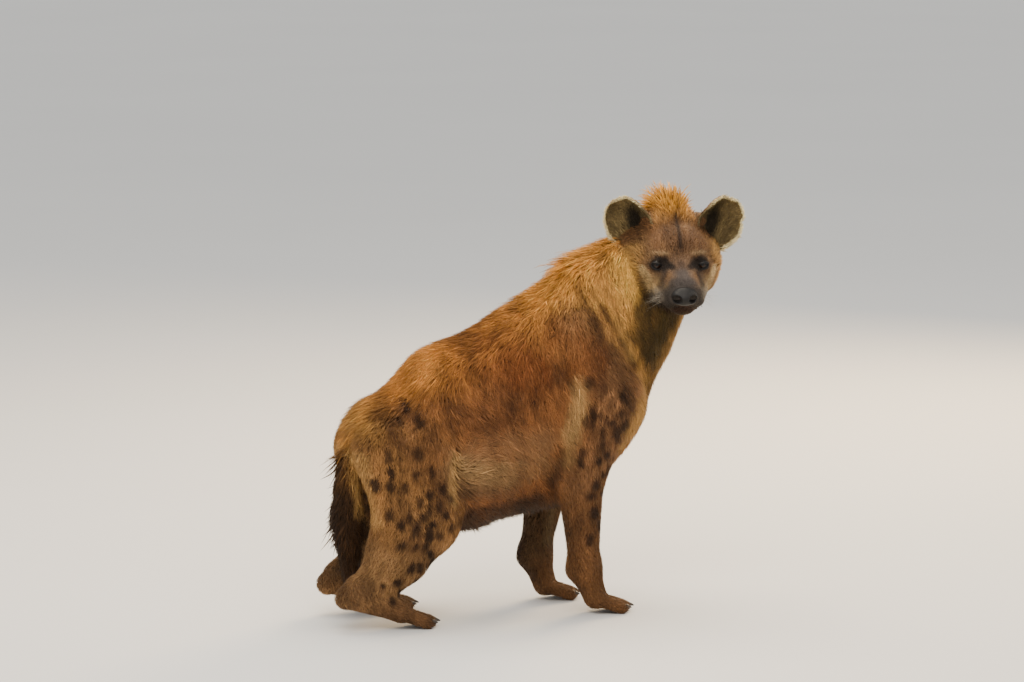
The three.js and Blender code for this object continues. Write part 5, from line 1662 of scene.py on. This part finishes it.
@dataclass
class Ear:
    """A rounded, cupped ear with a thick root, a thin rim and hair inside."""

    side: int
    height: float = 124
    width: float = 110
    edge: float = 3.2
    root: float = 9
    curl_deg: float = 68
    forward: float = 14
    rows: int = 30
    columns: int = 30
    notch: float = 6.0

    def half_width(self, s: Array) -> Array:
        """Half of the leaf's width at a share of its height."""
        lower = 0.5 + 0.5 * np.sin(np.pi * 0.5 * np.minimum(s / 0.42, 1))
        upper = np.sqrt(np.maximum(1 - (np.maximum(s - 0.5, 0) / 0.52) ** 2.4, 0.0))
        return self.width / 2 * lower * upper

    def axes(self) -> tuple[Array, Array, Array]:
        """Up the ear, out of its hollow, and across it."""
        rise = HEAD.direction(-0.16, self.side * 0.32, 0.93)
        opening = HEAD.direction(0.92, self.side * 0.26, 0.02)
        opening = unit(opening - opening.dot(rise) * rise)
        return rise, opening, unit(np.cross(rise, opening))

    def leaf(self, s: Array, a: Array, inset: Array) -> Array:
        """A point of the leaf: s up it, a across it from -1 to 1, inset towards its hollow."""
        foot = HEAD.place(-89, self.side * 87, 18)
        rise, opening, across = self.axes()
        curl = np.radians(self.curl_deg + 40 * np.maximum(0.35 - s, 0))
        outer_side = np.sign(a) == self.outer_sign()
        inner_side = ~outer_side
        nick = self.notch * np.exp(-(((s - 0.62) / 0.035) ** 2)) * outer_side * (self.side == LEFT)
        half = self.half_width(s) * (1 - 0.2 * inner_side * smooth_step(s, 0.35, 0.95) * np.abs(a) ** 2)
        half = half - nick * np.abs(a) ** 3
        sunk = 14 * inner_side * np.abs(a) ** 2 * (1 - smooth_step(s, 0.45, 0.72))
        radius = half / np.sin(curl)
        turn = a * curl
        ahead = radius * np.cos(curl) - (radius - inset) * np.cos(turn) + self.forward - sunk
        return (
            foot
            + rise * (self.height * s)[..., None]
            + across * ((radius - inset) * np.sin(turn))[..., None]
            + opening * ahead[..., None]
        )

    def outer_sign(self) -> int:
        """Which sign of the across share is the ear's outer rim."""
        return 1 if self.axes()[2].dot(HEAD.axes()[1]) * self.side > 0 else -1

    def surface(self, painter: Painter) -> tuple[Surface, Array, Array]:
        """Meshes both faces of the leaf.

        Args:
            painter: gives the noise of the colours.

        Returns:
            The surface to grow hair from, and the root and tip colours of each vertex.
        """
        s_line = np.linspace(0, 0.985, self.rows + 1)
        a_line = np.sin(np.linspace(-np.pi / 2, np.pi / 2, self.columns + 1))
        s, a = np.meshgrid(s_line, a_line, indexing="ij")
        thick = self.root + (self.edge - self.root) * np.minimum(2 * s, 1)
        thick = np.minimum(thick, 0.6 * self.half_width(s)) * (1 - 0.45 * np.abs(a) ** 4)
        layers = [self.leaf(s, a, np.zeros_like(s)), self.leaf(s, a, thick)]
        size = (self.rows + 1) * (self.columns + 1)
        points = np.concatenate([layer.reshape(-1, 3) for layer in layers])
        grid = np.arange(size).reshape(self.rows + 1, self.columns + 1)
        a0, b0, c0, d0 = grid[:-1, :-1], grid[:-1, 1:], grid[1:, 1:], grid[1:, :-1]
        back = np.stack([a0, b0, c0, d0], axis=-1).reshape(-1, 4)
        inner = back[:, ::-1] + size
        rim = np.array([*grid[:, 0], *grid[-1, 1:], *grid[::-1, -1][1:], *grid[0, ::-1][1:]])
        band = np.stack([rim[:-1], rim[1:], rim[1:] + size, rim[:-1] + size], axis=-1)
        quads = np.concatenate([back, inner, band])
        triangles = np.concatenate([quads[:, [0, 1, 2]], quads[:, [0, 2, 3]]])
        normals = vertex_normals(points, triangles)
        hollow = self.leaf(np.array([0.45]), np.array([0.0]), np.array([20.0]))[0]
        wrong = ((points[size:] - hollow) * normals[size:]).sum() > 0
        if wrong:
            triangles = triangles[:, ::-1]
            normals = -normals
        flat_s, flat_a = np.tile(s.ravel(), 2), np.tile(a.ravel(), 2)
        inside = np.repeat([0.0, 1.0], size)
        surface = self.grown(points, triangles, normals, flat_s, flat_a, inside)
        root, tip = self.tints(painter, points, flat_s, flat_a, inside)
        return surface, root, tip

    def grown(
        self, points: Array, faces: Array, normals: Array, s: Array, a: Array, inside: Array
    ) -> Surface:
        """Sets how hair grows: short outside, longer inside at the root, a fringe on the rim."""
        up = unit(self.leaf(s + 0.02, a, np.zeros_like(s)) - self.leaf(s - 0.02, a, np.zeros_like(s)))
        out = unit(self.leaf(s, a + 0.02, np.zeros_like(s)) - self.leaf(s, a - 0.02, np.zeros_like(s)))
        spread = np.sign(a)[:, None] * np.abs(a)[:, None] * out
        flow = unit(up + 0.9 * spread)
        flow = unit(flow - (flow * normals).sum(1, keepdims=True) * normals)
        rim = np.maximum(smooth_step(np.abs(a), 0.9, 0.99), smooth_step(s, 0.92, 0.98))
        deep = inside * (1 - smooth_step(s, 0.1, 0.6))
        length = 5 + 6 * inside * (1 - rim) + 8 * deep + 2 * rim
        stand = 1.0 + 1.4 * inside + 3 * deep + 1.0 * rim
        width = 1.15 + 0.3 * inside
        spacing = 2.3 - 0.4 * rim
        depth, clump = np.full_like(s, 1.0), np.full_like(s, 0.2)
        growth = np.stack([depth, length, width, spacing, stand, clump], axis=-1)
        zones = np.zeros((len(points), len(ZONES)))
        zones[:, ZONES.index(Zone.SKULL)] = 1
        return Surface(points, normals, faces, flow, growth, zones, np.zeros(len(points)))

    def tints(
        self, painter: Painter, points: Array, s: Array, a: Array, inside: Array
    ) -> tuple[Array, Array]:
        """Colours of the ear: brown back, olive hollow with a dark pit of painted shade, cream rim."""
        shade = (1 + 0.4 * painter.noise.at(points, 7.0))[:, None]
        back = linear("#6f4a2a")
        hollow = linear("#6d5c3c")
        colour = np.where(inside[:, None] > 0, hollow, back) * shade
        inner_edge = -self.outer_sign() * a
        reach = np.hypot((inner_edge - 0.2) / 0.4, (s - 0.44) / 0.44)
        # The dark pit by the hollow's inner edge is painted shade of the ear's opening, darkest at its
        # middle.
        pit = inside * (1 - smooth_step(reach, 0.4, 1.35))
        colour = colour + (linear("#15110c") - colour) * (0.95 * pit)[:, None]
        rim = np.maximum(smooth_step(np.abs(a), 0.975, 1.0), smooth_step(s, 0.975, 0.985))
        rim = rim * (1 - 0.85 * smooth_step(inner_edge, 0.3, 0.9) * (1 - smooth_step(s, 0.6, 0.95)))
        colour = colour + (linear("#e2cf9f") - colour) * (0.9 * rim)[:, None]
        return colour, colour * 1.2


class EarPainter(Painter):
    """Reads an ear's own colours at the vertices nearest to the tufts."""

    def __init__(self, points: Array, root: Array, tip: Array) -> None:
        """Keeps the ear's colours by vertex."""
        super().__init__()
        self.points = points
        self.root = root
        self.tip = tip

    def colours(self, points: Array, normals: Array, zones: Array) -> tuple[Array, Array]:
        """Colours at the ear's nearest vertex that faces the same way."""
        own = vertex_lookup(self.points, points)
        return self.root[own], self.tip[own]


def vertex_lookup(points: Array, wanted: Array) -> Array:
    """Index of the nearest of some points to each wanted place, in small batches."""
    batch = 400
    batches = (wanted[k : k + batch, None, :] for k in range(0, len(wanted), batch))
    return np.concatenate([((part - points[None]) ** 2).sum(-1).argmin(1) for part in batches])


@dataclass
class Nose:
    """The bare nose pad with two comma nostrils and a groove between them."""

    step: float = 1.2
    proud: float = 0.4

    @staticmethod
    def outline(local: Array) -> Array:
        """Distance outside the pad's rounded outline, negative on the pad."""
        height = local[:, 2] + 52 + 0.12 * (local[:, 0] - 120)
        across = np.abs(local[:, 1] / (31.5 - 0.2 * np.clip(height, 0, 30))) ** 2.3
        up = np.abs(height / 22.5) ** 2.3
        ahead = 104 - local[:, 0] - 0.3 * (local[:, 2] + 52)
        return np.maximum(24 * ((across + up) ** (1 / 2.3) - 1), ahead)

    def build(self) -> bpy.types.Object:
        """Meshes the pad from the head's own muscles.

        Returns:
            The nose object.
        """
        corners = [HEAD.place(x, y, z) for x in (92, 148) for y in (-42, 42) for z in (-84, -20)]
        low, high = np.min(corners, axis=0), np.max(corners, axis=0)
        axes = [np.arange(low[k], high[k], self.step) for k in range(3)]
        points = np.stack(np.meshgrid(*axes, indexing="ij"), axis=-1)
        flat = points.reshape(-1, 3)
        local = HEAD.local(flat)
        value = union_value(head_muscles(), flat) - self.proud
        for s in (RIGHT, LEFT):
            wing = Muscle((112, s * 20, -50), (122, s * 19, -55), (11, 12), (11.5, 12), 9, Zone.MUZZLE)
            value = smooth_union(value, wing.distance(local), 9)
        value = smooth_cut(value, -self.outline(local), 7)
        for s in (RIGHT, LEFT):
            hole = Muscle((150, s * 17.5, -60), (114, s * 20, -52), (11.8, 10.6), (8, 8), 4, Zone.MUZZLE)
            slit = Muscle((140, s * 22, -63), (116, s * 32, -60), (4.6, 3.2), (3.0, 2.2), 4, Zone.MUZZLE)
            carve = smooth_union(hole.distance(local), slit.distance(local), 5)
            value = smooth_cut(value, carve, 3)
        groove = Muscle((146, 0, -78), (141, 0, -50), (1.6, 4.5), (0.8, 2.5), 2, Zone.MUZZLE)
        value = smooth_cut(value, groove.distance(local), 2.5)
        grid = value.reshape(points.shape[:3])
        for axis in range(3):
            ends = [slice(None)] * 3
            for end in (0, -1):
                ends[axis] = end
                grid[tuple(ends)] = self.step
        net, quads = surface_nets(grid, low, self.step)
        return add_mesh("nose_pad", net, quads)


def tube(
    centres: Array, radii: Array, first: Array, second: Array, sides: int, closed: bool
) -> tuple[Array, Array]:
    """A tube through centres, with a ring of corners at each.

    Args:
        centres: middle points.
        radii: one radius for each.
        first: first direction of each ring.
        second: second direction of each ring.
        sides: corners of a ring.
        closed: whether the last ring joins the first; otherwise both ends are capped by a fan.

    Returns:
        Points and triangles.
    """
    turn = np.linspace(0, 2 * np.pi, sides, endpoint=False)
    ring = first[:, None] * np.cos(turn)[None, :, None] + second[:, None] * np.sin(turn)[None, :, None]
    points = (centres[:, None] + ring * radii[:, None, None]).reshape(-1, 3)
    count = len(centres)
    faces = []
    for r in range(count if closed else count - 1):
        here, there = r * sides, (r + 1) % count * sides
        for k in range(sides):
            after = (k + 1) % sides
            a, b, c, d = here + k, here + after, there + after, there + k
            faces += [(a, b, c), (a, c, d)]
    if not closed:
        points = np.concatenate([points, centres[:1], centres[-1:]])
        start, end = len(points) - 2, len(points) - 1
        low = (count - 1) * sides
        for k in range(sides):
            faces.append((start, (k + 1) % sides, k))
            faces.append((end, low + k, low + (k + 1) % sides))
    return points, np.array(faces)


def eye_rim(opening: Opening) -> bpy.types.Object:
    """The black margin of the lids, a thin roll round the almond opening."""
    turns = np.linspace(0, 2 * math.pi, 48, endpoint=False)
    centres = np.array([opening.margin(t, 1.2) for t in turns])
    ahead = unit(np.roll(centres, -1, axis=0) - np.roll(centres, 1, axis=0))
    out = unit(centres - opening.centre)
    side = np.cross(ahead, out)
    radii = 1.9 + 0.6 * np.sin(turns).clip(0, 1)
    points, faces = tube(centres, radii, out, side, 10, True)
    return add_mesh(f"eye_rim_{SIDE_WORDS[opening.side]}", points, faces)


def eyeball(opening: Opening, gaze: Array) -> bpy.types.Object:
    """A glass eye with a bulging cornea, whose own +Z looks along the gaze."""
    bm = bmesh.new()
    bmesh.ops.create_icosphere(bm, subdivisions=4, radius=opening.radius * METRES)
    for vert in bm.verts:
        height = vert.co.z / (opening.radius * METRES)
        vert.co *= 1 + 0.06 * max(height - 0.78, 0) / 0.22
    name = f"eyeball_{SIDE_WORDS[opening.side]}"
    mesh = bpy.data.meshes.new(name)
    bm.to_mesh(mesh)
    bm.free()
    mesh.polygons.foreach_set("use_smooth", np.full(len(mesh.polygons), True))
    obj = bpy.data.objects.new(name, mesh)
    turn = Vector(gaze).to_track_quat("Z", "Y").to_matrix().to_4x4()
    obj.matrix_world = Matrix.Translation(Vector((opening.centre + OFFSET) * METRES)) @ turn
    bpy.context.scene.collection.objects.link(obj)
    return obj


@dataclass
class Claw:
    """A blunt curved claw that comes out of the end of a toe."""

    radius: float = 5.0
    flatness: float = 0.75

    def build(self, name: str, tip: Array) -> bpy.types.Object:
        """Meshes the claw of one toe.

        Args:
            name: the object's name.
            tip: end of the toe's middle line.

        Returns:
            The claw object.
        """
        share = np.linspace(0, 1, 12)
        ahead = CLAW_START + CLAW_LENGTH * share
        height = 6 - 5.5 * share**1.6
        centres = tip + np.stack([ahead, np.zeros_like(ahead), height], axis=-1)
        radii = self.radius * (1 - 0.8 * share**2.2)
        ahead = unit(np.gradient(centres, axis=0))
        side = np.tile((0.0, 1.0, 0.0), (len(share), 1))
        points, faces = tube(centres, radii, side * self.flatness, np.cross(ahead, side), 12, False)
        return add_mesh(name, points, faces)


@dataclass
class Whiskers:
    """Stiff pale bristles that sweep back from the muzzle."""

    rows: int = 4
    columns: int = 4
    length: float = 40
    radius: float = 0.2

    def build(self) -> bpy.types.Object:
        """Meshes all the whiskers as one piece.

        Returns:
            The whiskers object.
        """
        chance = np.random.default_rng(77)
        points, faces = [], []
        total = 0
        for side, row, column in product((RIGHT, LEFT), range(self.rows), range(self.columns)):
            new_points, new_faces = self.bristle(side, row, column, chance)
            points.append(new_points)
            faces.append(new_faces + total)
            total += len(new_points)
        return add_mesh("whiskers", np.concatenate(points), np.concatenate(faces))

    def bristle(self, s: int, row: int, column: int, chance: np.random.Generator) -> tuple[Array, Array]:
        """One bristle, rooted where its place in the whisker bed meets the skin."""
        x = 92 - 9 * column + 3 * chance.normal()
        z = -52 - 6.5 * row + 1.5 * chance.normal()
        inner = HEAD.place(x, 0, z)
        out = HEAD.direction(0, s, 0)
        reach = np.linspace(5, 90, 86)
        value = union_value(head_muscles(), inner + reach[:, None] * out)
        root = inner + reach[int((value < -1).sum())] * out
        length = self.length * (0.6 + 0.5 * chance.random())
        t = np.linspace(0, 1, 8)[:, None]
        lie = HEAD.direction(0.1 - 0.7 * chance.random(), s * 0.9, 0.1 - 0.9 * chance.random())
        sag = HEAD.direction(-0.9, s * 0.1, -0.35)
        centres = root + lie * length * t + sag * length * 0.45 * t * t
        ahead = unit(np.gradient(centres, axis=0))
        side = unit(np.cross(ahead, (0, 0, 1)))
        radii = self.radius * (1 - 0.8 * t[:, 0])
        return tube(centres, radii, side, np.cross(ahead, side), 4, False)


@dataclass
class Studio:
    """Plain pale floor, soft lights and the camera at the photograph's angle."""

    camera_at: tuple[float, float, float] = (-3360.0, -9342.0, 2042.2)
    aim: tuple[float, float, float] = (40.19, 0.0, 645.05)
    lens: float = 150.0
    floor_size: float = 160.0
    world: str = "#f1f2f3"
    world_strength: float = 1.0

    def build(self) -> None:
        """Makes the floor, the lights and the camera."""
        bpy.ops.mesh.primitive_plane_add(size=self.floor_size, location=(0, 0, 0))
        floor = bpy.context.object
        floor.name = "floor"
        floor.data.materials.append(FloorFinish().material())
        scene = bpy.context.scene
        scene.world = bpy.data.worlds.new("studio")
        scene.world.use_nodes = True
        sky = scene.world.node_tree.nodes["Background"]
        sky.inputs["Color"].default_value = rgba(self.world)
        sky.inputs["Strength"].default_value = self.world_strength
        self.light("key", (-1.6, -3.6, 4.2), 3.4, 210, "#fff6ea")
        self.light("top", (0.2, 0.9, 4.6), 3.2, 230, "#fff1dc")
        self.light("rim", (3.0, 2.8, 2.6), 1.8, 230, "#ffdca8")
        self.camera()

    @staticmethod
    def light(name: str, place: tuple[float, float, float], size: float, power: float, colour: str) -> None:
        """Adds one soft square light that looks at the middle of the model."""
        data = bpy.data.lights.new(name, "AREA")
        data.size = size
        data.energy = power
        data.color = tuple(float(c) for c in linear(colour))
        lamp = bpy.data.objects.new(name, data)
        lamp.location = place
        lamp.rotation_euler = (Vector((0, 0, 0.5)) - Vector(place)).to_track_quat("-Z", "Y").to_euler()
        bpy.context.scene.collection.objects.link(lamp)

    def camera(self) -> None:
        """Adds the camera with the photograph's view and framing."""
        data = bpy.data.cameras.new("view")
        data.lens = self.lens
        data.sensor_width = 36
        data.clip_end = 400
        eye = Vector((np.array(self.camera_at) + OFFSET) * METRES)
        target = Vector((np.array(self.aim) + OFFSET) * METRES)
        camera = bpy.data.objects.new("view", data)
        camera.location = eye
        camera.rotation_euler = (target - eye).to_track_quat("-Z", "Y").to_euler()
        bpy.context.scene.collection.objects.link(camera)
        bpy.context.scene.camera = camera


@dataclass
class Hyena:
    """The whole animal, from the hide to the whiskers."""

    painter: Painter = field(default_factory=Painter)

    def build(self) -> None:
        """Builds every piece and puts it in its place."""
        hair = HairFinish().material()
        flesh = [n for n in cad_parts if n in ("torso", "neck", "head", "tail") or n in LEGS]
        skin = Skin()
        place_piece(skin.build(self.painter), HideFinish().material(), flesh)
        self.coat(skin, hair)
        self.ears(hair)
        self.face()
        self.claws()

    def coat(self, skin: Skin, hair: bpy.types.Material) -> None:
        """Grows the coat zone by zone."""
        surface = skin.surface
        coat = Coat(surface, self.painter, skin.flesh)
        thin = 1.0
        groups = {
            "mane": ((Zone.MANE, Zone.CROWN), 3, "head_coat"),
            "tail_brush": ((Zone.TAIL,), 2, "tail_coat"),
            "body_coat": (
                (Zone.BACK, Zone.FLANK, Zone.BELLY, Zone.CHEST, Zone.RUMP, Zone.NECK, Zone.THROAT),
                1,
                "coat",
            ),
            "limb_coat": ((Zone.SHOULDER, Zone.THIGH), 1, "coat"),
            "leg_coat": ((Zone.FORELEG, Zone.HINDLEG, Zone.FOOT), 1, "leg_coat"),
            "face_coat": (HEAD_ZONES, 1, "head_coat"),
        }
        for name, (zones, rings, slot) in groups.items():
            choose = surface.zones[:, [ZONES.index(z) for z in zones]].sum(1)
            for piece in coat.grow(name, choose, rings, thin):
                place_piece(piece, hair)
        LOG.info("coat: %d triangles", coat.counter)

    def ears(self, hair: bpy.types.Material) -> None:
        """Builds both ears and their hair."""
        hide = HideFinish(name="ear_hide", hair_mm=1.6, relief_mm=0.5).material()
        for side, word in SIDE_WORDS.items():
            ear = Ear(side)
            surface, root, tip = ear.surface(self.painter)
            leaf = add_mesh(f"ear_{word}_leaf", surface.points, surface.triangles)
            paint(leaf, root)
            place_piece(leaf, hide, [f"ear_{word}"])
            own = EarPainter(surface.points, root, tip)
            coat = Coat(surface, own, None, seed=40 + side)
            for piece in coat.grow(f"ear_{word}_hair", np.ones(len(surface.points)), 1):
                place_piece(piece, hair)

    def face(self) -> None:
        """Builds eyes, lids' margins, nose and whiskers."""
        gaze = HEAD.direction(0.97, -0.07, 0.2)
        eye = EyeFinish().material()
        rim = PebbledFinish("eyelid_skin", "#070606", "#15110f", 0.5, 1.4, 0.3).material()
        for opening in OPENINGS:
            place_piece(eyeball(opening, gaze), eye, [f"eye_{SIDE_WORDS[opening.side]}"])
            place_piece(eye_rim(opening), rim)
        nose = PebbledFinish("nose_leather").material()
        place_piece(Nose().build(), nose, ["nose"])
        place_piece(Whiskers().build(), BRISTLE.material())

    @staticmethod
    def claws() -> None:
        """Builds the sixteen claws."""
        horn = CLAW_HORN.material()
        for name, leg in LEGS.items():
            for number, toe in enumerate(toe_muscles(leg), start=1):
                node = f"{name}_claw_{number}"
                place_piece(Claw().build(f"{node}_horn", toe.end), horn, [node])


def main() -> None:
    """Builds the model and the studio; the pieces' sizes are logged as they are made."""
    logging.basicConfig(level=logging.INFO, format="%(message)s")
    Hyena().build()
    Studio().build()
    bpy.context.view_layer.update()


if __name__ == "__main__":
    main()
